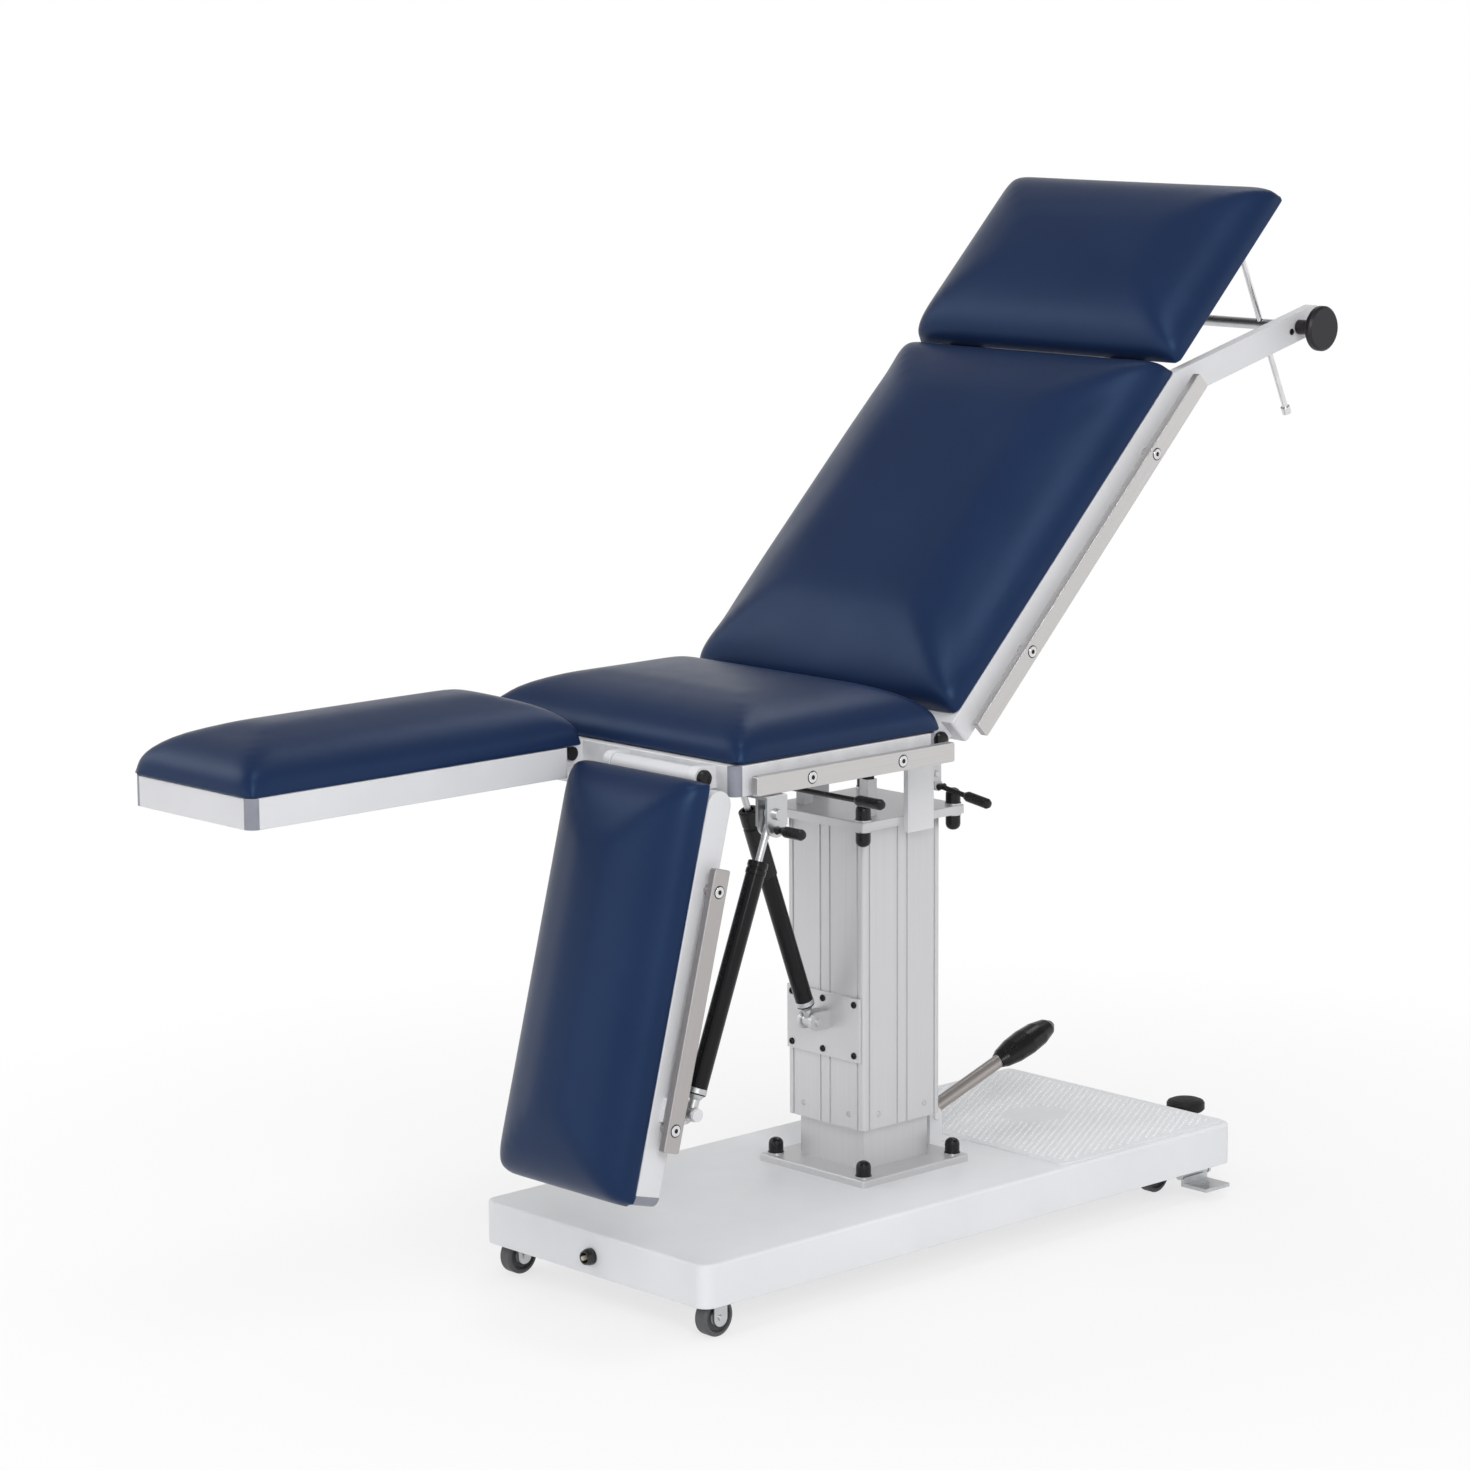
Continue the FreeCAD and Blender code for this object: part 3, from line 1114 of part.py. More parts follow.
pieces = [tray(("back_start", "back_end"), wide, "frame_low")]
bores = []
for side in (-1, 1):
    pieces.append(box(("0", "back_start + 40"), sided(side, "lug_in", "lug_in + lug_width"),
                      (minus("ear_radius"), "ear_radius")))
    pieces.append(round_bar("Y", "0", "0", sided(side, "lug_in", "lug_in + lug_width"), "ear_radius"))
    bores.append(round_bar("Y", "0", "0", sided(side, "lug_in - 2", "half"), "hinge_pin + run_clear"))
    across = sided(side, "half - arm_thick", "half")
    arm = fuse([
        box(("0", "arm_length - frame_depth / 2"), across, ("-frame_depth / 2", "frame_depth / 2")),
        round_bar("Y", "0", "0", across, "frame_depth / 2"),
        round_bar("Y", "arm_length - frame_depth / 2", "0", across, "frame_depth / 2"),
    ])
    pieces.append(place(arm, "arm_root", "0", "frame_mid", "0; 1; 0", "arm_bend"))
    bores.append(round_bar("Y", "bar_u", "arm_low", sided(side, "half - arm_thick - 2", "half + 2"),
                           "crossbar_stub + run_clear"))
    for hand in (-1, 1):
        mid = "knuckle_mid + %d * (knuckle_length / 2 + side_clear + knuckle_side / 2)" % hand
        across = sided(side, "%s - knuckle_side / 2" % mid, "%s + knuckle_side / 2" % mid)
        pieces.append(box(("back_end - 8", "head_axis"), across, ("head_w - 4", "head_w + 4")))
        pieces.append(round_bar("Y", "head_axis", "head_w", across, "knuckle"))
    reach = "knuckle_length / 2 + knuckle_side"
    pieces.append(round_bar("Y", "head_axis", "head_w",
                            sided(side, "knuckle_mid - (%s)" % reach,
                                  "knuckle_mid + %s" % reach), "knuckle_pin"))
    outer = "-back_strut_y + %d * (lug_gap + lug_thick / 2 + 2 * side_clear)" % side
    across = ("%s - lug_thick / 2" % outer, "%s + lug_thick / 2" % outer)
    along = ("back_strut_along - 28", "back_strut_along + 30")
    pieces.append(box(along, across, (minus("back_strut_drop + 18"), "hinge_drop - board_thick")))
    head = (outer, "%s + lug_thick / 2 + 4" % outer)
    if side < 0:
        head = ("%s - lug_thick / 2 - 4" % outer, outer)
    pieces.append(round_bar("Y", "back_strut_along", minus("back_strut_drop"), head, "7"))
pieces.append(box(("back_strut_along - 38", "back_strut_along + 38"),
                  ("-back_strut_y - 24", "-back_strut_y + 24"),
                  ("hinge_drop - board_thick - 5", "hinge_drop - board_thick")))
node(raise_back(cut(fuse(pieces), bores)), "back_frame")
node(raise_back(cushion(("back_pad_start", "back_end"), wide, "hinge_drop")), "back_pad")
along = ("back_rail_start", "back_rail_start + back_rail_length")
posts = ("%s + back_rail_hole" % along[0], "%s - back_rail_hole" % along[1])
node(raise_back(fuse([rail(side, along, minus("back_rail_top"), posts) for side in (-1, 1)])), "back_rails")

# Back strut: rod down on the hanger, cylinder up behind the back
foot = ("back_foot_x", minus("back_strut_y"), "back_foot_z")
across = (minus("eye_half"), "eye_half")
rod = cut(fuse([
    round_bar("Y", "0", "0", across, "rod_eye"),
    round_bar("Z", "0", "0", ("4", "back_rod_length"), "back_rod"),
    round_bar("Z", "0", "0", ("5", "26"), "rod_eye - 1"),
    round_bar("Z", "0", "0", ("-12", "-4"), "rod_eye - 1"),
]), [round_bar("Y", "0", "0", ("-20", "20"), "pedal_pin + run_clear")])
node(place(rod, *foot, "0; 1; 0", "back_turn"), "back_rod")
mouth = "back_span - back_neck - back_strut_body"
body = cut(fuse([
    round_bar("Y", "0", "back_span", across, "strut_eye"),
    round_bar("Z", "0", "0", ("back_span - back_neck - 4", "back_span"), "strut_rod + 2"),
    round_bar("Z", "0", "0", (mouth, "back_span - back_neck"), "strut_radius"),
]), [
    round_bar("Z", "0", "0", ("%s + 12" % mouth, "back_span - back_neck - 8"), "strut_bore"),
    round_bar("Z", "0", "0", ("%s - 1" % mouth, "%s + 14" % mouth), "back_rod + run_clear"),
])
node(place(body, *foot, "0; 1; 0", "back_turn"), "back_cylinder")
root = "back_strut_y + lug_gap + lug_thick + side_clear"
arm = lever_arm("back_lever_reach + lever_grip - back_grip_length", "back_grip_length")
place(arm, "0", "0", "0", "1; 0; 0", "90")
barrel = round_bar("X", minus("lever_barrel"), "0", (minus("lever_barrel_half"), "lever_barrel_half"),
                   "lever_barrel")
lever = fuse([arm, barrel])
place(lever, "back_foot_x + back_lever_shift", minus(root), "back_foot_z - back_lever_drop", "1; 0; 0",
      "back_lever_droop")
node(lever, "back_lever")

# Head
board_y = "half - arm_thick - board_inset"
flat = (minus("head_board / 2"), "head_board / 2")
pieces = [box(("head_gap + board_inset", "head_gap + head_length - board_inset"), (minus(board_y), board_y),
              flat)]
bores = []
pins = []
for side in (-1, 1):
    across = sided(side, "knuckle_mid - knuckle_length / 2", "knuckle_mid + knuckle_length / 2")
    pieces.append(box(("0", "head_gap + 2 * board_inset"), across, flat))
    pieces.append(round_bar("Y", "0", "0", across, "knuckle"))
    bores.append(round_bar("Y", "0", "0",
                           sided(side, "knuckle_mid - knuckle_length", "knuckle_mid + knuckle_length"),
                           "knuckle_pin + run_clear"))
    for hand in (-1, 1):
        mid = "guide_y + %d * (guide_eye_width / 2 + side_clear + 2)" % hand
        across = sided(side, "%s - 2" % mid, "%s + 2" % mid)
        pieces.append(box(("guide_along - 9", "guide_along + 9"), across, (minus("guide_drop"), "0")))
        pieces.append(round_bar("Y", "guide_along", minus("guide_drop"), across, "9"))
    reach = "guide_eye_width / 2 + side_clear + 5"
    pins.append(round_bar("Y", "guide_along", minus("guide_drop"),
                          sided(side, "guide_y - (%s)" % reach, "guide_y + %s" % reach), "knuckle_pin"))
head_x, head_z = back_spot("head_axis", "head_w")
board = fuse([cut(fuse(pieces), bores)] + pins)
node(place(board, head_x, "0", head_z, "0; 1; 0", minus("back_rise")), "head_board")
pad = cushion(("head_gap", "head_gap + head_length"), wide, "head_board / 2")
node(place(pad, head_x, "0", head_z, "0; 1; 0", minus("back_rise")), "head_pad")
pieces = []
bores = []
for side in (-1, 1):
    row_y = "%d * guide_y" % side
    pieces.append(round_bar("Y", "0", "0",
                            ("%s - guide_eye_width / 2" % row_y,
                             "%s + guide_eye_width / 2" % row_y), "guide_eye"))
    pieces.append(round_bar("Z", "0", row_y, (minus("guide_length"), "-4"), "guide_rod"))
    pieces.append(round_bar("Z", "0", row_y, (minus("guide_length + 8"), minus("guide_length - 2")),
                            "guide_cap"))
    bores.append(round_bar("Y", "0", "0", ("%s - 20" % row_y, "%s + 20" % row_y), "knuckle_pin + run_clear"))
rod_x, rod_z = back_spot("guide_u", "guide_w")
node(place(cut(fuse(pieces), bores), rod_x, "0", rod_z, "0; 1; 0", "guide_turn"), "head_rods")
bar_x, bar_z = back_spot("bar_u", "arm_low")
arm_face = "half - arm_thick - side_clear"
tools = [round_bar("Z", "0", "%d * guide_y" % side, ("-20", "20"),
                   "guide_rod + guide_open") for side in (-1, 1)]
tools.append(round_bar("Y", "0", "0", (minus("half + 5"), minus("half - 45")), "knob_spindle + run_clear"))
bar = cut(fuse([
    round_bar("Y", "0", "0", (minus(arm_face), arm_face), "crossbar_radius"),
    round_bar("Y", "0", "0", (minus("half + 1"), "half + 1"), "crossbar_stub"),
    round_bar("Y", "0", "0", ("half + 0.5", "half + 6"), "knob_hub"),
]), tools)
node(place(bar, bar_x, "0", bar_z, "0; 1; 0", "guide_turn"), "crossbar")
knob = turned([
    ("0.05", "-knob_hub_length - 26"), ("knob_spindle", "-knob_hub_length - 26.01"),
    ("knob_spindle", "-knob_hub_length"), ("knob_hub", "-knob_hub_length - 0.01"), ("knob_hub", "-0.01"),
    ("knob_radius - 3", "0.01"), ("knob_radius", "3"), ("knob_radius", "knob_thick - 3"),
    ("knob_radius - 3", "knob_thick"), ("0.05", "knob_thick - 0.01"),
])
node(place(knob, bar_x, "-knob_in - knob_hub_length", bar_z, "1; 0; 0", "90"), "clamp_knob")

doc.recompute()
for thing in doc.Objects:
    if "Invalid" in thing.State or "Error" in thing.State:
        raise ValueError("%s is %s" % (thing.Label, thing.State))
os.makedirs("parts", exist_ok=True)
for thing in NODES:
    shape = thing.Shape
    if shape.isNull() or not shape.isValid():
        raise ValueError("%s has no valid shape" % thing.Label)
    shape.exportStep("parts/%s.step" % thing.Label)
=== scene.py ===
"""Dresses the split-leg operating table and sets it in a plain white studio."""

import json
import logging
import math
from dataclasses import dataclass
from enum import Enum
from typing import Iterable, Sequence

import bmesh
import bpy
from mathutils import Matrix, Vector


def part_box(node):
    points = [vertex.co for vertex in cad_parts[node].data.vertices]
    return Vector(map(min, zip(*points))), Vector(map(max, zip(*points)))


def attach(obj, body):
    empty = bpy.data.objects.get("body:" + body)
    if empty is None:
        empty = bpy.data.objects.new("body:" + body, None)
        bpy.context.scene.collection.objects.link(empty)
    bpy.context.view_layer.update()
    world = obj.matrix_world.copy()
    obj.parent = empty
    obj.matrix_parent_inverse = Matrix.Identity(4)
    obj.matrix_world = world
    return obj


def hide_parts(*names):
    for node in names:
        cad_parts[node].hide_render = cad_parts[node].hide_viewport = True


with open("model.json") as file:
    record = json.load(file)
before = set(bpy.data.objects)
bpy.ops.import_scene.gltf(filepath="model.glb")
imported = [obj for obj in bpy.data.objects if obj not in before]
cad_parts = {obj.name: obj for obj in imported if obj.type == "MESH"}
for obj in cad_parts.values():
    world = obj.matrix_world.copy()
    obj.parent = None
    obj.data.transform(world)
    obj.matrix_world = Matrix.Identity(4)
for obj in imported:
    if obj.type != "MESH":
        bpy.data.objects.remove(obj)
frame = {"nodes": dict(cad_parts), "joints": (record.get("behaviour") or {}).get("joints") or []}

LOG = logging.getLogger("operating_table")
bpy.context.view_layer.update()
JOINTS = {joint["name"]: joint for joint in frame["joints"]}
MM = 0.001
MERGE = 1e-6
STILL = 1e-7
TINY = 1e-9
Socket = bpy.types.NodeSocket
Mesh = bmesh.types.BMesh
Pair = tuple[float, float]
Point = tuple[float, float, float]
Colour = tuple[float, float, float]
Profile = Sequence[Pair]


class Side(Enum):
    """The two long sides of the table; the near one faces the camera."""

    NEAR = -1
    FAR = 1

    @property
    def word(self) -> str:
        """Give the side's word in node and body names."""
        return self.name.lower()

    @property
    def out(self) -> Vector:
        """Give the way out over this side."""
        return Vector((0, self.value, 0))


class Way(Enum):
    """The direction along which a metal was drawn, or of a turned piece's axis."""

    ALONG_X = 0
    ALONG_Y = 1
    ALONG_Z = 2


def joint_place(name: str) -> Vector:
    """Find where a joint's axis passes at rest, in metres."""
    return Vector(JOINTS[name]["pos_m"])


def joint_axis(name: str) -> Vector:
    """Find a joint's axis at rest."""
    return Vector(JOINTS[name]["axis"]).normalized()


@dataclass(frozen=True)
class Section:
    """A section of the table top that is drawn level about its hinge and then folded.

    Attributes:
        body: The body that it moves with.
        hinge: Where its hinge axis passes.
        fold: Its turn about the axis across the table, in degrees.
    """

    body: str
    hinge: Vector
    fold: float

    @property
    def matrix(self) -> Matrix:
        """Give the transform from the level section to the table's frame."""
        return Matrix.Translation(self.hinge) @ Matrix.Rotation(math.radians(self.fold), 4, "Y")

    def local_box(self, node: str) -> tuple[Vector, Vector]:
        """Measure a node in the level section's own axes.

        Args:
            node: The CAD node's name.

        Returns:
            The lowest and the highest corner.
        """
        back = self.matrix.inverted()
        spots = [back @ vert.co for vert in frame["nodes"][node].data.vertices]
        low = Vector([min(spot[axis] for spot in spots) for axis in range(3)])
        high = Vector([max(spot[axis] for spot in spots) for axis in range(3)])
        return low, high


BACK_RISE = -45.0
LEG_FALL = -75.3
IN_MIDDLE = Vector((1, 0, 1))
SEAT = Section("seat", Vector((0.0, 0.0, 0.0)), 0.0)
BACK = Section("back", joint_place("back_fold"), BACK_RISE)
HEAD = Section("head", joint_place("head_fold"), BACK_RISE)
LEG_NEAR = Section("leg_near", IN_MIDDLE * joint_place("leg_fold_near"), LEG_FALL)
LEG_FAR = Section("leg_far", IN_MIDDLE * joint_place("leg_fold_far"), 0.0)

FULL = (0.0, 1.0)
MIDDLE = (0.3, 0.7)
# How far the softened normal agrees with the face's on a worn edge and beside it.
EDGE_TURN = (0.72, 0.985)
BARE_WHITE = (1.0, 1.0, 1.0, 1.0)


class Nodes:
    """A node tree while it is put together."""

    def __init__(self, tree: bpy.types.NodeTree) -> None:
        """Take the tree over."""
        self.tree = tree

    def feed(self, node: bpy.types.Node, inputs: dict[str | int, object]) -> None:
        """Give a node's inputs their values.

        Args:
            node: The node.
            inputs: A socket or a constant for each input's name or number.
        """
        for key, value in inputs.items():
            if isinstance(value, Socket):
                self.tree.links.new(value, node.inputs[key])
            else:
                node.inputs[key].default_value = value

    def node(self, kind: str, inputs: dict[str | int, object] | None = None, **values: object) -> bpy.types.Node:
        """Add a node.

        Args:
            kind: The node's type, without ShaderNode in front.
            inputs: A socket or a constant for each input's name or number.
            **values: Properties of the node.

        Returns:
            The new node.
        """
        made = self.tree.nodes.new("ShaderNode" + kind)
        for name, value in values.items():
            setattr(made, name, value)
        self.feed(made, inputs or {})
        return made

    def reckon(self, operation: str, *values: object) -> Socket:
        """Work out a number."""
        return self.node("Math", dict(enumerate(values)), operation=operation).outputs["Value"]

    def combine(self, operation: str, *values: object) -> Socket:
        """Work with vectors."""
        made = self.node("VectorMath", dict(enumerate(values)), operation=operation)
        return made.outputs["Value" if operation in ("DOT_PRODUCT", "LENGTH") else "Vector"]

    def span(self, value: Socket, low: float, high: float, source: Pair = MIDDLE) -> Socket:
        """Map a value to a span."""
        ends = {"From Min": source[0], "From Max": source[1], "To Min": low, "To Max": high}
        return self.node("MapRange", {"Value": value, **ends}).outputs["Result"]

    def white_rays(self) -> Socket:
        """Mark the rays that show the white surroundings.

        Returns:
            1 for camera, glossy and transmission rays, otherwise 0.
        """
        path = self.node("LightPath").outputs
        mirrored = self.reckon("MAXIMUM", path["Is Camera Ray"], path["Is Glossy Ray"])
        return self.reckon("MAXIMUM", mirrored, path["Is Transmission Ray"])


class Recipe(Nodes):
    """A material's node tree while it is put together."""

    def __init__(self, name: str) -> None:
        """Start a tree with its output and shader.

        Args:
            name: The material's name.
        """
        self.material = bpy.data.materials.new(name)
        self.material.use_nodes = True
        super().__init__(self.material.node_tree)
        self.tree.nodes.clear()
        self.shader = self.node("BsdfPrincipled")
        self.output = self.node("OutputMaterial", {"Surface": self.shader.outputs["BSDF"]})
        self.place = self.node("TexCoord").outputs["Object"]

    def coat(self, **inputs: object) -> None:
        """Feed the shader, with _ for a space in an input's name."""
        self.feed(self.shader, {name.replace("_", " "): value for name, value in inputs.items()})

    def noise(self, scale: float, detail: float, place: Socket | None = None) -> Socket:
        """Add a noise pattern."""
        made = self.node("TexNoise", {"Scale": scale, "Detail": detail, "Vector": place or self.place})
        return made.outputs["Fac"]

    def ramp(self, value: Socket, stops: Sequence[tuple[float, Colour]], blend: str = "LINEAR") -> Socket:
        """Turn a value into a colour.

        Args:
            value: The value, from 0 to 1.
            stops: Places and linear colours.
            blend: How colours change between them.

        Returns:
            The colour.
        """
        made = self.node("ValToRGB", {"Fac": value})
        made.color_ramp.interpolation = blend
        elements = made.color_ramp.elements
        while len(elements) < len(stops):
            elements.new(1.0)
        for element, (position, colour) in zip(elements, stops):
            element.position = position
            element.color = (*colour, 1.0)
        return made.outputs["Color"]

    def mottled(self, value: Socket, colour: Colour, spread: Pair, stops: Pair = MIDDLE) -> Socket:
        """Vary a colour with a pattern."""
        return self.ramp(value, [(stop, shade(colour, factor)) for stop, factor in zip(stops, spread)])

    def tint(self, amount: Socket, first: Socket, second: Colour) -> Socket:
        """Mix a varying colour towards a plain one."""
        mixed = {"Factor": amount, 6: first, 7: (*second, 1.0)}
        return self.node("Mix", mixed, data_type="RGBA").outputs[2]

    def rounded(self, radius: float) -> Socket:
        """Soften hard edges in the shading."""
        return self.node("Bevel", {"Radius": radius}, samples=4).outputs["Normal"]

    def worn(self, soft: Socket, tone: Socket, colour: Colour, wear: Pair) -> Socket:
        """Lighten the edges, where the softened normal leaves the face's own.

        Args:
            soft: The softened normal.
            tone: The varying colour.
            colour: The plain colour.
            wear: How far worn edges show, and how much lighter they are.

        Returns:
            The colour with worn edges.
        """
        turned = self.combine("DOT_PRODUCT", soft, self.node("NewGeometry").outputs["Normal"])
        edges = self.span(turned, 1.0, 0.0, EDGE_TURN)
        return self.tint(self.span(edges, 0.0, wear[0], FULL), tone, shade(colour, wear[1]))

    def away_from(self, spot: Point) -> Socket:
        """Give the vector from a spot to each point of the surface."""
        made = self.node("Mapping", {"Location": spot, "Vector": self.place}, vector_type="TEXTURE")
        return made.outputs["Vector"]

    def relief(self, height: Socket, depth: float, strength: float, soft: Socket | None = None) -> None:
        """Give the shader a fine relief.

        Args:
            height: The height pattern.
            depth: Its depth, in metres.
            strength: How much of it shows.
            soft: A softened normal below it, or None.
        """
        made = self.node("Bump", {"Strength": strength, "Distance": depth, "Height": height})
        if soft is not None:
            self.feed(made, {"Normal": soft})
        self.coat(Normal=made.outputs["Normal"])


def shade(colour: Colour, factor: float) -> Colour:
    """Lighten or darken a colour."""
    return tuple(min(1.0, channel * factor) for channel in colour)


MADE: dict[str, bpy.types.Material] = {}


@dataclass(frozen=True)
class Finish:
    """A mottled surface with softened, worn edges, uneven roughness and a fine relief.

    Attributes:
        name: The material's name.
        colour: Its linear colour.
        rough: Its middle roughness.
        edge: The radius that edges are softened by.
        mottle: The colour's patches to the metre, and their finer layers.
        spread: How dark and how light the patches get.
        wear: How far worn edges show and how much lighter they are, or None.
        smear: The roughness's patches to the metre, and their finer layers.
        uneven: How far the roughness falls and rises.
        grain: The relief's grains to the metre.
        depth: The relief's depth.
        strength: How much of the relief shows.
        gloss: The specular level.
        metallic: How much it shines as bare metal.
    """

    name: str
    colour: Colour
    rough: float
    edge: float = 0.7 * MM
    mottle: Pair = (30.0, 3.0)
    spread: Pair = (0.94, 1.06)
    wear: Pair | None = None
    smear: Pair = (30.0, 3.0)
    uneven: Pair = (0.05, 0.07)
    grain: float = 700.0
    depth: float = 0.03 * MM
    strength: float = 0.3
    gloss: float = 0.5
    metallic: float = 0.0

    def material(self) -> bpy.types.Material:
        """Give the finish's material, made once."""
        if self.name not in MADE:
            recipe = Recipe(self.name)
            self.mix(recipe)
            MADE[self.name] = recipe.material
        return MADE[self.name]

    def mix(self, recipe: Recipe) -> None:
        """Put the material's nodes together."""
        soft = recipe.rounded(self.edge)
        tone = recipe.mottled(recipe.noise(*self.mottle), self.colour, self.spread)
        if self.wear:
            tone = recipe.worn(soft, tone, self.colour, self.wear)
        self.lay(recipe, tone, recipe.noise(*self.smear), recipe.noise(self.grain, 1.0), soft)

    def lay(self, recipe: Recipe, tone: Socket, patches: Socket, height: Socket, soft: Socket | None) -> None:
        """Give the shader its colour, roughness, shine and relief.

        Args:
            recipe: The material's tree.
            tone: The colour.
            patches: The roughness's pattern.
            height: The relief's pattern.
            soft: The softened normal, or None.
        """
        fall, rise = self.uneven
        recipe.coat(Base_Color=tone, Roughness=recipe.span(patches, self.rough - fall, self.rough + rise),
                    Metallic=self.metallic, Specular_IOR_Level=self.gloss)
        recipe.relief(height, self.depth, self.strength, soft)


@dataclass(frozen=True)
class PowderCoat(Finish):
    """Satin coat on sheet or profile, with orange peel and faintly worn edges."""

    edge: float = 0.9 * MM
    mottle: Pair = (7.0, 3.0)
    spread: Pair = (0.965, 1.02)
    wear: Pair = (0.35, 1.12)
    smear: Pair = (38.0, 4.0)
    uneven: Pair = (0.05, 0.06)
    grain: float = 420.0
    depth: float = 0.05 * MM
    strength: float = 0.35
    gloss: float = 0.4


@dataclass(frozen=True)
class PlatedSteel(Finish):
    """Bright or zinc plate with faint handling marks."""

    edge: float = 0.5 * MM
    mottle: Pair = (90.0, 5.0)
    spread: Pair = (0.9, 1.06)
    smear: Pair = (90.0, 5.0)
    uneven: Pair = (0.05, 0.08)
    depth: float = 0.02 * MM
    strength: float = 0.25
    metallic: float = 0.95


@dataclass(frozen=True)
class Moulded(Finish):
    """Moulded plastic with a fine spark texture."""

    edge: float = 0.8 * MM
    spread: Pair = (0.88, 1.12)
    wear: Pair = (0.4, 1.5)
    grain: float = 1500.0
    depth: float = 0.04 * MM
    gloss: float = 0.45


@dataclass(frozen=True)
class DrawnMetal(Finish):
    """Bare metal with the fine lines of drawing or brushing.

    Attributes:
        way: Which way the lines run.
        fold: The turn about the axis across the table of the section that it is on.
        line: The lines' width, in metres.
        run: The lines' length, in metres.
    """

    wear: Pair = (0.5, 1.2)
    uneven: Pair = (0.06, 0.08)
    metallic: float = 0.9
    way: Way = Way.ALONG_X
    fold: float = 0.0
    line: float = 0.8 * MM
    run: float = 0.35

    def mix(self, recipe: Recipe) -> None:
        """Put the material's nodes together."""
        stretch = [self.line] * 3
        stretch[self.way.value] = self.run
        turn = (0.0, math.radians(self.fold), 0.0)
        drawn = recipe.node("Mapping", {"Rotation": turn, "Scale": stretch, "Vector": recipe.place},
                            vector_type="TEXTURE")
        lines = recipe.noise(1.0, 3.0, drawn.outputs["Vector"])
        soft = recipe.rounded(self.edge)
        tone = recipe.worn(soft, recipe.mottled(lines, self.colour, self.spread), self.colour, self.wear)
        self.lay(recipe, tone, lines, lines, soft)


@dataclass(frozen=True)
class Leatherette(Finish):
    """Smooth upholstery cover with a fine pressed grain.

    Attributes:
        stops: The pattern's values where the colour is darkest and lightest.
        wander: How far the grain's cells wander.
        patches: How many patches of wandering there are to a cell.
        pore: How wide the lines between cells are, as a share of a cell.
        pore_shade: How dark they are.
        sheen: The colour of its highlights.
    """

    mottle: Pair = (9.0, 4.0)
    spread: Pair = (0.94, 1.07)
    smear: Pair = (26.0, 3.0)
    uneven: Pair = (0.015, 0.02)
    grain: float = 950.0
    depth: float = 0.09 * MM
    strength: float = 0.32
    gloss: float = 0.24
    stops: Pair = (0.28, 0.72)
    wander: float = 0.6 * MM
    patches: float = 0.4
    pore: float = 0.22
    pore_shade: float = 0.55
    sheen: tuple[float, float, float, float] = (0.42, 0.66, 1.0, 1.0)

    def mix(self, recipe: Recipe) -> None:
        """Put the material's nodes together."""
        tone = recipe.mottled(recipe.noise(*self.mottle), self.colour, self.spread, self.stops)
        drift = recipe.node("TexNoise", {"Scale": self.grain * self.patches, "Vector": recipe.place})
        strayed = recipe.combine("MULTIPLY_ADD", drift.outputs["Color"], (self.wander,) * 3, recipe.place)
        cells = recipe.node("TexVoronoi", feature="DISTANCE_TO_EDGE")
        recipe.feed(cells, {"Scale": self.grain, "Vector": strayed})
        pores = recipe.span(cells.outputs["Distance"], 0.0, 1.0, (0.0, self.pore))
        deep = recipe.span(pores, self.pore, 0.0, FULL)
        tone = recipe.tint(deep, tone, shade(self.colour, self.pore_shade))
        self.lay(recipe, tone, recipe.noise(*self.smear), pores, None)
        recipe.coat(Specular_Tint=self.sheen)


@dataclass(frozen=True)
class RingedDisc(Finish):
    """A turned piece whose zones change with the distance from its axis.

    Attributes:
        centre: A point on the axis.
        way: The axis.
        reach: The radius at which the last zone ends.
        zones: Radii as shares of the reach, with the colour from there outwards.
        dust: How much of the plain colour lies over them.
    """

    mottle: Pair = (120.0, 4.0)
    smear: Pair = (60.0, 3.0)
    uneven: Pair = (0.06, 0.08)
    grain: float = 900.0
    depth: float = 0.05 * MM
    centre: Point = (0.0, 0.0, 0.0)
    way: Way = Way.ALONG_Y
    reach: float = 0.025
    zones: tuple[tuple[float, Colour], ...] = ()
    dust: float = 0.22

    def mix(self, recipe: Recipe) -> None:
        """Put the material's nodes together."""
        weights = [1.0 / self.reach] * 3
        weights[self.way.value] = 0.0
        flat = recipe.combine("MULTIPLY", recipe.away_from(self.centre), weights)
        tone = recipe.ramp(recipe.combine("LENGTH", flat), self.zones, "CONSTANT")
        tone = recipe.tint(recipe.span(recipe.noise(*self.mottle), 0.0, self.dust), tone, self.colour)
        self.lay(recipe, tone, recipe.noise(*self.smear), recipe.noise(self.grain, 1.0), recipe.rounded(self.edge))


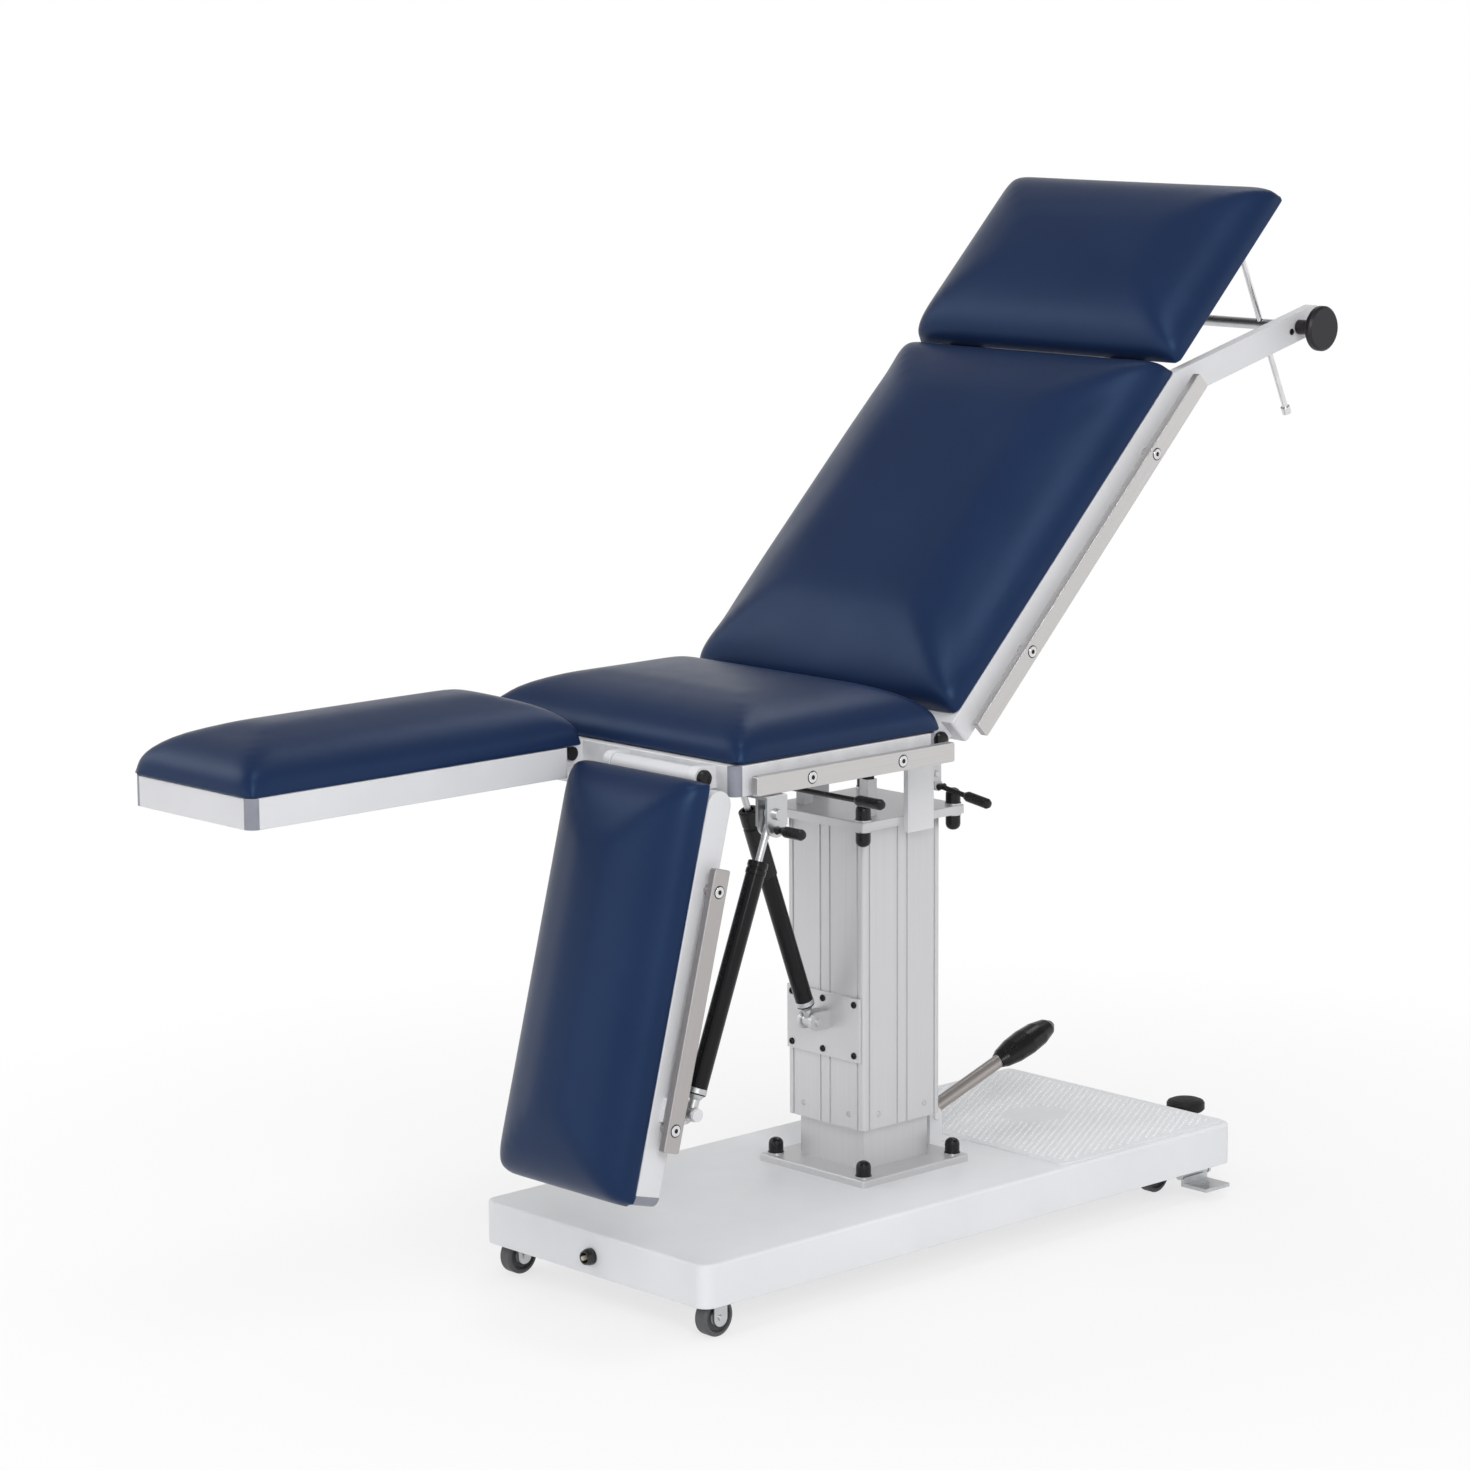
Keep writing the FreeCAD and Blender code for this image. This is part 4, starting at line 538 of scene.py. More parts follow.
@dataclass(frozen=True)
class PlatedBand(Finish):
    """A coated or moulded piece whose part within a band along an axis is bare plated metal.

    Attributes:
        origin: Where the distance along the axis is counted from.
        along: The axis.
        band: The distances between which it is plated, in metres.
        plate: The plated part's linear colour.
        plate_rough: The plated part's roughness.
    """

    mottle: Pair = (40.0, 3.0)
    spread: Pair = (0.92, 1.06)
    gloss: float = 0.3
    metallic: float = 0.95
    origin: Point = (0.0, 0.0, 0.0)
    along: Point = (0.0, 0.0, 1.0)
    band: Pair = (0.0, 0.0)
    plate: Colour = (0.56, 0.57, 0.58)
    plate_rough: float = 0.3

    def mix(self, recipe: Recipe) -> None:
        """Put the material's nodes together."""
        distance = recipe.combine("DOT_PRODUCT", recipe.away_from(self.origin), self.along)
        low, high = self.band
        mask = recipe.reckon("COMPARE", distance, (low + high) / 2, (high - low) / 2)
        tone = recipe.mottled(recipe.noise(*self.mottle), self.colour, self.spread)
        recipe.coat(Base_Color=recipe.tint(mask, tone, self.plate),
                    Metallic=recipe.span(mask, 0.0, self.metallic, FULL),
                    Roughness=recipe.span(mask, self.rough, self.plate_rough, FULL), Specular_IOR_Level=self.gloss)
        recipe.relief(recipe.noise(self.grain, 1.0), self.depth, self.strength, recipe.rounded(self.edge))


WHITE = (0.80, 0.81, 0.83)
FRAME_WHITE = (0.69, 0.695, 0.715)
NAVY = (0.0105, 0.0235, 0.070)
INK = (0.0065, 0.0065, 0.0075)
JET = (0.008, 0.008, 0.009)
# A darker copy of the rail steel for the leg rails: painted shade for the darker surroundings that they reflect.
SHADED_LEG_STEEL = (0.44, 0.42, 0.415)
RAIL_STEEL = (0.58, 0.565, 0.56)
ENAMEL_ROUGH, ENAMEL_GLOSS = 0.11, 0.2
PUMP_RISE = -18.4
COAT = PowderCoat("base_powder_coat", WHITE, 0.42)
FRAME_COAT = PowderCoat("frame_satin_coat", FRAME_WHITE, 0.38, grain=600.0, edge=1.2 * MM)
MAT = PowderCoat("pale_mat_rubber", (0.78, 0.79, 0.81), 0.55, grain=900.0, edge=0.5 * MM)
# The raised dashes take a lighter copy of the mat rubber: painted highlight on their tops.
LIT_MAT_RIB = PowderCoat("raised_mat_rubber", (0.88, 0.89, 0.90), 0.5, grain=900.0, edge=0.4 * MM)
COLUMN = DrawnMetal("column_anodised", (0.63, 0.63, 0.64), 0.42, way=Way.ALONG_Z, line=1.6 * MM, metallic=0.5,
                    spread=(0.965, 1.035))
PLATE = DrawnMetal("plate_anodised", (0.62, 0.62, 0.63), 0.38, metallic=0.55)
POST = PowderCoat("post_white_coat", (0.76, 0.765, 0.78), 0.4)
NAVY_COVER = Leatherette("navy_leatherette", NAVY, 0.35)
BLACK = Moulded("black_plastic", JET, 0.26, gloss=0.3)
RUBBER = Moulded("black_rubber", (0.014, 0.014, 0.015), 0.55, gloss=0.2)
CAPS = Moulded("lavender_cap_plastic", (0.245, 0.255, 0.30), 0.42)
GRAPHITE = Moulded("graphite_knob_plastic", (0.020, 0.018, 0.022), 0.4, gloss=0.25)
ENAMEL = Moulded("strut_black_enamel", INK, ENAMEL_ROUGH, gloss=ENAMEL_GLOSS)
ZINC = PlatedSteel("zinc_plate", (0.56, 0.57, 0.58), 0.32)
BRIGHT = PlatedSteel("bright_plate", (0.72, 0.72, 0.73), 0.16)
TUBE = DrawnMetal("pump_tube_steel", (0.42, 0.39, 0.37), 0.34, fold=PUMP_RISE, metallic=0.85)


def rail_finish(section: Section) -> DrawnMetal:
    """Give the brushed steel of a section's rails, darker on the leg sections as painted shade."""
    steel = SHADED_LEG_STEEL if section in (LEG_NEAR, LEG_FAR) else RAIL_STEEL
    return DrawnMetal("rail_steel_" + section.body, steel, 0.34, fold=section.fold, line=0.5 * MM, metallic=0.8)


def strut_finish(name: str, swing: str, travel: str) -> PlatedBand:
    """Give a gas cylinder's black enamel, with the plated eye and neck at its foot."""
    return PlatedBand(name, INK, ENAMEL_ROUGH, gloss=ENAMEL_GLOSS, origin=tuple(joint_place(swing)),
                      along=tuple(joint_axis(travel)), band=(-20 * MM, 23 * MM))


def nut_finish(name: str, plate: str) -> PlatedBand:
    """Give black cap nuts with steel washers on both faces of their plate.

    Args:
        name: The finish's name.
        plate: The plate that they clamp.

    Returns:
        The finish, counted upwards.
    """
    low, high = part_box(plate)
    washer = 2.1 * MM
    return PlatedBand(name, JET, 0.26, band=(low.z - washer, high.z + washer))


def seat_finish() -> PlatedBand:
    """Give the seat frame's white coat, with zinc lugs where the leg struts hang below it.

    Returns:
        The finish, counted upwards.
    """
    below, hang = 0.5 * MM, 200 * MM
    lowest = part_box("seat_caps")[0].z - below
    return PlatedBand("seat_frame_coat", FRAME_WHITE, 0.38, band=(lowest - hang, lowest), gloss=0.4)


def disc_finish(name: str, node: str, plain: Colour, rough: float, way: Way,
                zones: tuple[tuple[float, Colour], ...]) -> RingedDisc:
    """Give a turned node's coloured rings.

    Args:
        name: The finish's name.
        node: The CAD node.
        plain: The dust's colour.
        rough: The middle roughness.
        way: The node's axis.
        zones: Radii as shares of the node's own, with the colour from there outwards.

    Returns:
        The finish, centred on the node.
    """
    low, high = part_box(node)
    return RingedDisc(name, plain, rough, centre=tuple((low + high) / 2), way=way, reach=(high.z - low.z) / 2,
                      zones=zones)


def solid(name: str, bm: Mesh, finish: Finish, body: str, sharp: float = 32.0) -> bpy.types.Object:
    """Make a finished piece from a bmesh.

    Args:
        name: The piece's name.
        bm: Its mesh, in the table's frame; it is freed.
        finish: Its finish.
        body: The body that it rides on.
        sharp: The angle above which an edge is shaded sharp, in degrees.

    Returns:
        The new object.
    """
    mesh = bpy.data.meshes.new(name)
    bm.to_mesh(mesh)
    bm.free()
    mesh.shade_smooth()
    mesh.set_sharp_from_angle(angle=math.radians(sharp))
    made = bpy.data.objects.new(name, mesh)
    bpy.context.scene.collection.objects.link(made)
    mesh.materials.append(finish.material())
    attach(made, body)
    LOG.info("piece %s on %s: %d faces", name, body, len(mesh.polygons))
    return made


def aimed(spot: Vector, along: Vector) -> Matrix:
    """Give the transform that stands a piece drawn along Z at a spot."""
    return Matrix.Translation(spot) @ along.to_track_quat("Z", "X").to_matrix().to_4x4()


def turn_profile(bm: Mesh, profile: Profile, place: Matrix, steps: int) -> None:
    """Spin a profile of radius and height about Z, and set it in place.

    Args:
        bm: The mesh that it goes into.
        profile: Radii and heights from one end to the other.
        place: Where it goes.
        steps: How many steps the spin has.
    """
    before = set(bm.verts)
    verts = [bm.verts.new((radius, 0.0, height)) for radius, height in profile]
    lines = [bm.edges.new(pair) for pair in zip(verts, verts[1:])]
    bmesh.ops.spin(bm, geom=verts + lines, cent=(0, 0, 0), axis=(0, 0, 1), angle=math.tau, steps=steps,
                   use_merge=True)
    bmesh.ops.remove_doubles(bm, verts=[vert for vert in bm.verts if vert not in before], dist=MERGE)
    kept = [vert for vert in bm.verts if vert not in before]
    bmesh.ops.recalc_face_normals(bm, faces=list({face for vert in kept for face in vert.link_faces}))
    bmesh.ops.transform(bm, matrix=place, verts=kept)


def smooth(bm: Mesh, verts: list[bmesh.types.BMVert], times: int) -> None:
    """Move vertices half-way to their neighbours' middle."""
    for _ in range(times):
        bmesh.ops.smooth_vert(bm, verts=verts, factor=0.5, use_axis_x=True, use_axis_y=True, use_axis_z=True)


COVER_CLOTH = {
    "quality": 5, "mass": 0.35, "tension_stiffness": 30.0, "compression_stiffness": 30.0, "shear_stiffness": 18.0,
    "bending_stiffness": 14.0, "use_pressure": True, "uniform_pressure_force": 4.0, "vertex_group_mass": "held",
}


@dataclass
class Pad:
    """An upholstered pad: foam under a leatherette cover, tight at its foot and crowned.

    Attributes:
        name: The piece's name.
        node: The CAD solid that it stands for.
        section: The section that carries it.
        overhang: How far the foam stands out over the board's ends and sides.
        fill: How tight it is; not used.
        swell: How far the cover may swell, in metres.
        voxel: The size of the cover's cells before it is smoothed.
        corner: The radius of its corners seen from above.
        rolls: The cut foam's shoulder: how far in it is at each share of the thickness.
        widest_roll: The most that a roll may take of the narrower half.
        ride_height: The gap under it.
        frames: How many steps the foam presses for.
        held: The height of the band that is stapled to the board.
        first_ease: How often the even cover is smoothed.
        last_ease: How often the swollen cover is smoothed.
        calm: How often the swelling is evened out.
    """

    name: str
    node: str
    section: Section
    overhang: Pair = (3 * MM, 1.5 * MM)
    fill: float = 0.85
    swell: float = 7 * MM
    voxel: float = 5.5 * MM
    corner: float = 9 * MM
    rolls: tuple[Pair, ...] = (
        (0.0, 0.25), (2.5 * MM, 0.38), (7 * MM, 0.50), (15 * MM, 0.64), (28 * MM, 0.81), (46 * MM, 0.96),
        (72 * MM, 1.11), (110 * MM, 1.24))
    widest_roll: float = 0.8
    ride_height: float = 0.4 * MM
    frames: int = 20
    held: float = 7 * MM
    first_ease: int = 14
    last_ease: int = 6
    calm: int = 45

    def block(self) -> tuple[Mesh, float]:
        """Draw the cut foam: a block with rounded corners and a hipped top.

        Returns:
            The level block and the height of its underside.
        """
        low, high = self.section.local_box(self.node)
        size, middle = high - low, (low + high) / 2
        foot = low.z + self.ride_height
        before, level = self.rolls[0]
        first = size.z * level
        size.xy += 2 * Vector(self.overhang)
        bm = bmesh.new()
        bmesh.ops.create_cube(bm, size=1.0)
        bmesh.ops.scale(bm, vec=(size.x, size.y, first), verts=bm.verts)
        bmesh.ops.translate(bm, vec=(middle.x, middle.y, foot + first / 2), verts=bm.verts)
        upright = [edge for edge in bm.edges if abs(edge.verts[0].co.z - edge.verts[1].co.z) > first / 2]
        bmesh.ops.bevel(bm, geom=upright, offset=self.corner, segments=4, profile=0.5, affect="EDGES", material=-1)
        widest = min(size.x, size.y) / 2 * self.widest_roll
        for roll, share in self.rolls[1:]:
            inset = min(roll, widest)
            top = max(bm.faces, key=lambda face: face.calc_center_median().z)
            raised = bmesh.ops.extrude_discrete_faces(bm, faces=[top])["faces"][0]
            bmesh.ops.translate(bm, vec=(0, 0, size.z * (share - level)), verts=raised.verts)
            wide, deep = ((along - 2 * inset) / (along - 2 * before) for along in size.xy)
            grow = Matrix.Translation(middle) @ Matrix.Diagonal((wide, deep, 1.0, 1.0)) @ Matrix.Translation(-middle)
            bmesh.ops.transform(bm, matrix=grow, verts=raised.verts)
            before, level = inset, share
        bmesh.ops.remove_doubles(bm, verts=bm.verts, dist=MERGE)
        return bm, foot

    def cover(self, bm: Mesh, foot: float) -> bpy.types.Object:
        """Stretch an even cover over the block.

        Args:
            bm: The block; it is freed.
            foot: The height of its underside.

        Returns:
            The cover, with the group that holds its foot.
        """
        mesh = bpy.data.meshes.new(self.name)
        bm.to_mesh(mesh)
        bm.free()
        made = bpy.data.objects.new(self.name, mesh)
        bpy.context.scene.collection.objects.link(made)
        remesh = made.modifiers.new("Even", "REMESH")
        remesh.mode = "VOXEL"
        remesh.voxel_size = self.voxel
        self.apply(made)
        self.ease(made, foot, self.first_ease)
        group = made.vertex_groups.new(name="held")
        group.add([vert.index for vert in made.data.vertices if vert.co.z < foot + self.held], 1.0, "REPLACE")
        return made

    def ease(self, made: bpy.types.Object, foot: float, times: int) -> None:
        """Smooth the cover above its foot.

        Args:
            made: The cover.
            foot: The height of its underside.
            times: How often it is smoothed.
        """
        bm = bmesh.new()
        bm.from_mesh(made.data)
        smooth(bm, [vert for vert in bm.verts if vert.co.z > foot + self.held / 2], times)
        bm.to_mesh(made.data)
        bm.free()

    def apply(self, made: bpy.types.Object) -> None:
        """Keep what an object's modifiers make of its mesh."""
        evaluated = made.evaluated_get(bpy.context.evaluated_depsgraph_get())
        mesh = bpy.data.meshes.new_from_object(evaluated)
        made.modifiers.clear()
        old, made.data = made.data, mesh
        bpy.data.meshes.remove(old)

    def inflate(self, made: bpy.types.Object) -> None:
        """Let the foam press the cover out, and hold each point within the swell.

        Args:
            made: The cover.
        """
        start = [vert.co.copy() for vert in made.data.vertices]
        cloth = made.modifiers.new("Foam", "CLOTH")
        for name, value in COVER_CLOTH.items():
            setattr(cloth.settings, name, value)
        cloth.settings.effector_weights.gravity = 0.0
        cloth.collision_settings.use_collision = False
        cloth.collision_settings.use_self_collision = False
        cloth.point_cache.frame_start = 1
        cloth.point_cache.frame_end = self.frames
        scene = bpy.context.scene
        for number in range(1, self.frames + 1):
            scene.frame_set(number)
        self.apply(made)
        scene.frame_set(1)
        self.even(made, start)

    def even(self, made: bpy.types.Object, start: Sequence[Vector]) -> None:
        """Cap the swelling and even it out, so that the cover lies tight and without creases.

        Args:
            made: The swollen cover.
            start: Where each of its points was before.
        """
        bm = bmesh.new()
        bm.from_mesh(made.data)
        moved = 0.0
        for vert, before in zip(bm.verts, start):
            step = vert.co - before
            moved = max(moved, step.length)
            vert.co = step * min(1.0, self.swell / max(step.length, TINY))
        smooth(bm, [vert for vert in bm.verts if vert.co.length > STILL], self.calm)
        for vert, before in zip(bm.verts, start):
            vert.co += before
        bm.to_mesh(made.data)
        bm.free()
        LOG.info("pad %s: cover moved %.1f mm at most", self.name, moved / MM)

    def build(self) -> bpy.types.Object:
        """Make the pad.

        Returns:
            The finished pad.
        """
        bm, foot = self.block()
        made = self.cover(bm, foot)
        self.inflate(made)
        self.ease(made, foot, self.last_ease)
        made.vertex_groups.clear()
        made.data.transform(self.section.matrix)
        finer = made.modifiers.new("Finer", "SUBSURF")
        finer.levels = 1
        finer.render_levels = 1
        self.apply(made)
        made.data.shade_smooth()
        made.data.materials.clear()
        made.data.materials.append(NAVY_COVER.material())
        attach(made, self.section.body)
        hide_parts(self.node)
        LOG.info("piece %s on %s: %d faces", self.name, self.section.body, len(made.data.polygons))
        return made


# Sections of screw heads, as shares of the radius and the height.
FLAT_HEAD = ((1.0, 0.5), (0.93, 1.0))
DOME_HEAD = ((1.0, 0.3), (0.92, 0.66), (0.74, 0.9))
# Sections of the dark pieces that paint shade in the socket and round the rim, as shares of a radius and heights in
# millimetres.
SOCKET_SHADE = ((0.97, -0.1), (0.85, -0.5), (0.0, -0.6))
RIM_SHADE = ((1.16, 0.0), (1.12, 0.3), (0.99, 0.3))


@dataclass(frozen=True)
class Screw:
    """A screw head with a round recess.

    Attributes:
        radius: The head's radius.
        height: How far it stands proud.
        recess: The recess's radius.
        head: The head's section.
        sunk: How far its rim is sunk.
        well: The recess's deepest share of the height, and its deepest depth.
        taper: The share of the recess's radius that is left at its floor.
        steps: How many steps its round has.
    """

    radius: float
    height: float
    recess: float
    head: tuple[Pair, ...] = FLAT_HEAD
    sunk: float = 0.2 * MM
    well: Pair = (0.8, 1.6 * MM)
    taper: float = 0.9
    steps: int = 20

    def drive(self, bm: Mesh, spot: Vector, along: Vector) -> None:
        """Set one screw.

        Args:
            bm: The mesh that it goes into.
            spot: The middle of its seat.
            along: Where its head points.
        """
        floor = self.height - min(self.height * self.well[0], self.well[1])
        rim = [(self.radius * wide, self.height * high) for wide, high in self.head]
        well = [(self.recess, self.height), (self.recess * self.taper, floor), (0.0, floor)]
        turn_profile(bm, [(self.radius, -self.sunk), *rim, *well], aimed(spot, along), self.steps)

    def paint_socket_shade(self, bm: Mesh, spot: Vector, along: Vector) -> None:
        """Set painted shade: a dark hexagonal socket in the recess and a dark rim round the head, where shade falls.

        Args:
            bm: The mesh that they go into.
            spot: The middle of the screw's seat.
            along: Where its head points.
        """
        place = aimed(spot, along)
        socket = [(self.recess * wide, self.height + up * MM) for wide, up in SOCKET_SHADE]
        turn_profile(bm, socket, place, steps=6)
        turn_profile(bm, [(self.radius * wide, up * MM) for wide, up in RIM_SHADE], place, self.steps)


@dataclass
class RailFittings:
    """The screws that hold a section's rails.

    Attributes:
        section: The section that carries the rails.
        node: The rails' CAD node.
        sides: The sides that the node has a rail on.
        inset: How far the screws sit from the rail's ends.
        screw: Their shape.
        depth: How far they sit below the rail's upper edge.
    """

    section: Section
    node: str
    sides: tuple[Side, ...]
    inset: float
    screw: Screw = Screw(7.2 * MM, 1.2 * MM, 3.0 * MM)
    depth: float = 12.5 * MM

    def build(self) -> bpy.types.Object:
        """Set the screws.

        Returns:
            The finished piece.
        """
        low, high = self.section.local_box(self.node)
        bm, dark = bmesh.new(), bmesh.new()
        for side in self.sides:
            face = low.y if side is Side.NEAR else high.y
            for along in (low.x + self.inset, high.x - self.inset):
                spot = self.section.matrix @ Vector((along, face, high.z - self.depth))
                self.screw.drive(bm, spot, side.out)
                self.screw.paint_socket_shade(dark, spot, side.out)
        # The black sockets and rims are painted shade in the recesses and round the heads.
        solid(self.node + "_sockets", dark, RUBBER, self.section.body)
        return solid(self.node + "_screws", bm, BRIGHT, self.section.body)


@dataclass
class ColumnFittings:
    """Small screws on the front strut bracket, the column and the back's arms.

    Attributes:
        plate_screw: The screws of the strut bracket's plate.
        plate_margin: How far they sit from its edges.
        plate_thickness: How far its face stands off the column.
        skirt_screw: The screws low on the outer column.
        skirt_rise: Their height above the outer column's foot.
        skirt_half: Half the distance between a face's two screws.
        arm_screw: The small screw beside the knob.
        arm_back: How far it sits behind the crossbar's axis.
        arm_drop: How far it sits below that axis.
    """

    plate_screw: Screw = Screw(4.6 * MM, 2.6 * MM, 1.9 * MM, DOME_HEAD)
    plate_margin: float = 9 * MM
    plate_thickness: float = 5 * MM
    skirt_screw: Screw = Screw(4.2 * MM, 0.7 * MM, 1.7 * MM)
    skirt_rise: float = 19 * MM
    skirt_half: float = 43 * MM
    arm_screw: Screw = Screw(4.4 * MM, 1.6 * MM, 1.9 * MM, DOME_HEAD)
    arm_back: float = 14 * MM
    arm_drop: float = 6 * MM

    def build(self) -> None:
        """Set the screws."""
        self.plate()
        self.skirt()
        self.arm()

    def plate(self) -> None:
        """Set the six black screws of the strut bracket."""
        low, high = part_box("strut_bracket")
        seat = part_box("outer_column")[0].x - self.plate_thickness
        bm = bmesh.new()
        for across in (low.y + self.plate_margin, (low.y + high.y) / 2, high.y - self.plate_margin):
            for up in (low.z + self.plate_margin, high.z - self.plate_margin):
                self.plate_screw.drive(bm, Vector((seat, across, up)), Vector((-1, 0, 0)))
        solid("strut_bracket_screws", bm, BLACK, "lift")

    def skirt(self) -> None:
        """Set two screws low on each face of the outer column."""
        low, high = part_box("outer_column")
        bm = bmesh.new()
        for turn in range(4):
            face = Matrix.Rotation(turn * math.pi / 2, 4, "Z")
            for across in (-self.skirt_half, self.skirt_half):
                spot = face @ Vector((high.x, across, low.z + self.skirt_rise))
                self.skirt_screw.drive(bm, spot, face @ Vector((1, 0, 0)))
        solid("outer_column_screws", bm, ZINC, "lift")

    def arm(self) -> None:
        """Set a small black screw on each arm, below the crossbar's end."""
        pivot = joint_place("clamp_knob_turn")
        face = BACK.local_box("back_pad")[1].y
        bm = bmesh.new()
        for side in Side:
            spot = Vector((pivot.x - self.arm_back, side.value * face, pivot.z - self.arm_drop))
            self.arm_screw.drive(bm, spot, side.out)
        solid("arm_screws", bm, BLACK, "back")


@dataclass
class MatTread:
    """The raised dashes of the foot mat, in slanting lines round a bare patch.

    Attributes:
        lean: The slant of the lines from the table's length, in degrees.
        line_pitch: The distance between lines.
        dash_pitch: The distance between dashes along a line.
        length: A dash's length.
        width: A dash's width.
        height: Half the height of its block, which is partly sunk.
        crown: The shares of the length and width that are left on top.
        sunk: How far its middle is sunk, as a share of the height.
        margin: The plain border.
        patch: The half sizes of the bare patch in the middle.
    """

    lean: float = 31.0
    line_pitch: float = 9.1 * MM
    dash_pitch: float = 14 * MM
    length: float = 12 * MM
    width: float = 4.6 * MM
    height: float = 1.4 * MM
    crown: Pair = (0.84, 0.5)
    sunk: float = 0.2
    margin: float = 12 * MM
    patch: Pair = (48 * MM, 40 * MM)

    def dash(self, bm: Mesh, spot: Vector) -> None:
        """Lay one dash.

        Args:
            bm: The mesh that it goes into.
            spot: Its middle on the mat.
        """
        block = bmesh.ops.create_cube(bm, size=1.0)["verts"]
        bmesh.ops.scale(bm, vec=(self.length, self.width, self.height * 2), verts=block)
        bmesh.ops.scale(bm, vec=(*self.crown, 1.0), verts=[vert for vert in block if vert.co.z > 0])
        place = Matrix.Translation(spot) @ Matrix.Rotation(math.radians(self.lean), 4, "Z")
        bmesh.ops.transform(bm, matrix=place, verts=block)

    def spots(self, low: Vector, high: Vector) -> Iterable[Vector]:
        """Find the middle of each dash.

        Args:
            low: The mat's lowest corner.
            high: The mat's highest corner.

        Yields:
            The places on the mat's face.
        """
        middle = (low + high) / 2
        turn = Matrix.Rotation(math.radians(self.lean), 3, "Z")
        reach = (high - low).to_2d().length / 2
        inner = (high - low) / 2 - Vector((self.margin, self.margin, 0.0))
        lines, dashes = int(reach / self.line_pitch), int(reach / self.dash_pitch)
        for line in range(-lines, lines + 1):
            shift = self.dash_pitch / 2 if line % 2 else 0.0
            for dash in range(-dashes, dashes + 1):
                away = turn @ Vector((dash * self.dash_pitch + shift, line * self.line_pitch, 0.0))
                bare = math.hypot(away.x / self.patch[0], away.y / self.patch[1]) < 1.0
                if abs(away.x) < inner.x and abs(away.y) < inner.y and not bare:
                    yield Vector((middle.x + away.x, middle.y + away.y, high.z - self.height * self.sunk))

    def build(self) -> bpy.types.Object:
        """Lay the dashes.

        Returns:
            The finished piece.
        """
        low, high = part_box("foot_mat")
        bm = bmesh.new()
        for spot in self.spots(low, high):
            self.dash(bm, spot)
        # The dashes carry the lighter copy of the mat rubber as painted highlight.
        return solid("foot_mat_dashes", bm, LIT_MAT_RIB, "base")


@dataclass(frozen=True)
class Turning:
    """A turned trim on a gas strut's cylinder.

    Attributes:
        name: The end of the piece's name.
        finish: Its finish.
        slot: The record's material slot that matches its finish; not used.
        radius: The radius that its section is counted from, in metres.
        section: How far out and how far along each corner is, in millimetres.
        steps: How many steps its round has.
        sharp: The angle above which an edge is shaded sharp, in degrees.
    """

    name: str
    finish: Finish
    slot: str
    radius: float
    section: tuple[Pair, ...]
    steps: int = 36
    sharp: float = 25.0

    def build(self, strut: str, body: str, spot: Vector, along: Vector) -> None:
        """Turn the piece.

        Args:
            strut: The strut's name.
            body: The body that the cylinder rides on.
            spot: Where the section's lengths are counted from.
            along: The way from the cylinder's blind end to its mouth.
        """
        bm = bmesh.new()
        profile = [(self.radius + out * MM, on * MM) for out, on in self.section]
        turn_profile(bm, profile, aimed(spot, along), self.steps)
        solid(strut + self.name, bm, self.finish, body, self.sharp)


COLLAR = Turning("_collar", ENAMEL, "strut_black", 12 * MM, (
    (-1, -17), (0.9, -16), (0.9, -10), (0, -9), (0, -7.5), (0.9, -6.5), (0.9, -1), (-0.3, 0.3), (-5.8, 0.3)))
FERRULE = Turning("_ferrule", ZINC, "zinc_steel", 12 * MM, (
    (-1, 9), (0.3, 8), (0.3, 2), (-1.4, -0.2), (-4.4, -5), (-5.4, -6)))
SLEEVE = Turning("_sleeve", BLACK, "black_plastic", 13.4 * MM, (
    (-1.2, -75), (0, -73.8), (0, -2.4), (-1.2, -1.2), (-1.2, 1.2), (0, 2.4), (0, 22.8), (-1.2, 24), (-5.4, 24)))


@dataclass
class Struts:
    """The trims of the four gas struts.

    Attributes:
        neck: How far a cylinder's blind end is from its eye.
        leg_body: A leg cylinder's length.
        tilt_body: The tilt cylinder's length.
        back_body: The back cylinder's length.
        back_neck: How far the back cylinder's blind end is from its eye.
        back_eye: The back cylinder's eye's outer radius.
    """

    neck: float = 24 * MM
    leg_body: float = 294 * MM
    tilt_body: float = 272 * MM
    back_body: float = 202 * MM
    back_neck: float = 52 * MM
    back_eye: float = 9 * MM

    def build(self) -> None:
        """Make every strut's trim."""
        mouth, along = self.trim("tilt_strut", "tilt_tube", "tilt_tube_swing", "tilt_stem_travel", self.tilt_body)
        SLEEVE.build("tilt_strut", "tilt_tube", mouth, along)
        for side in Side:
            end = "_" + side.word
            self.trim("leg_strut" + end, "leg_tube" + end, "leg_tube_swing" + end, "leg_stem_travel" + end,
                      self.leg_body)
        foot, along = joint_place("back_stem_swing"), joint_axis("back_tube_travel")
        reach = max((vert.co - foot).dot(along) for vert in frame["nodes"]["back_cylinder"].data.vertices)
        top = foot + along * (reach - self.back_eye - self.back_neck)
        COLLAR.build("back_strut", "back_tube", top - along * self.back_body, -along)
        FERRULE.build("back_strut", "back_tube", top, -along)

    def trim(self, strut: str, body: str, swing: str, travel: str, length: float) -> tuple[Vector, Vector]:
        """Put the collar and the ferrule on a cylinder that stands on its blind end.

        Args:
            strut: The strut's name.
            body: The body that the cylinder rides on.
            swing: The joint at its foot eye.
            travel: The joint along which the rod slides.
            length: The cylinder's length.

        Returns:
            The middle of its mouth, and the way that the rod leaves it.
        """
        along = joint_axis(travel)
        foot = joint_place(swing) + along * self.neck
        mouth = foot + along * length
        COLLAR.build(strut, body, mouth, along)
        FERRULE.build(strut, body, foot, along)
        return mouth, along


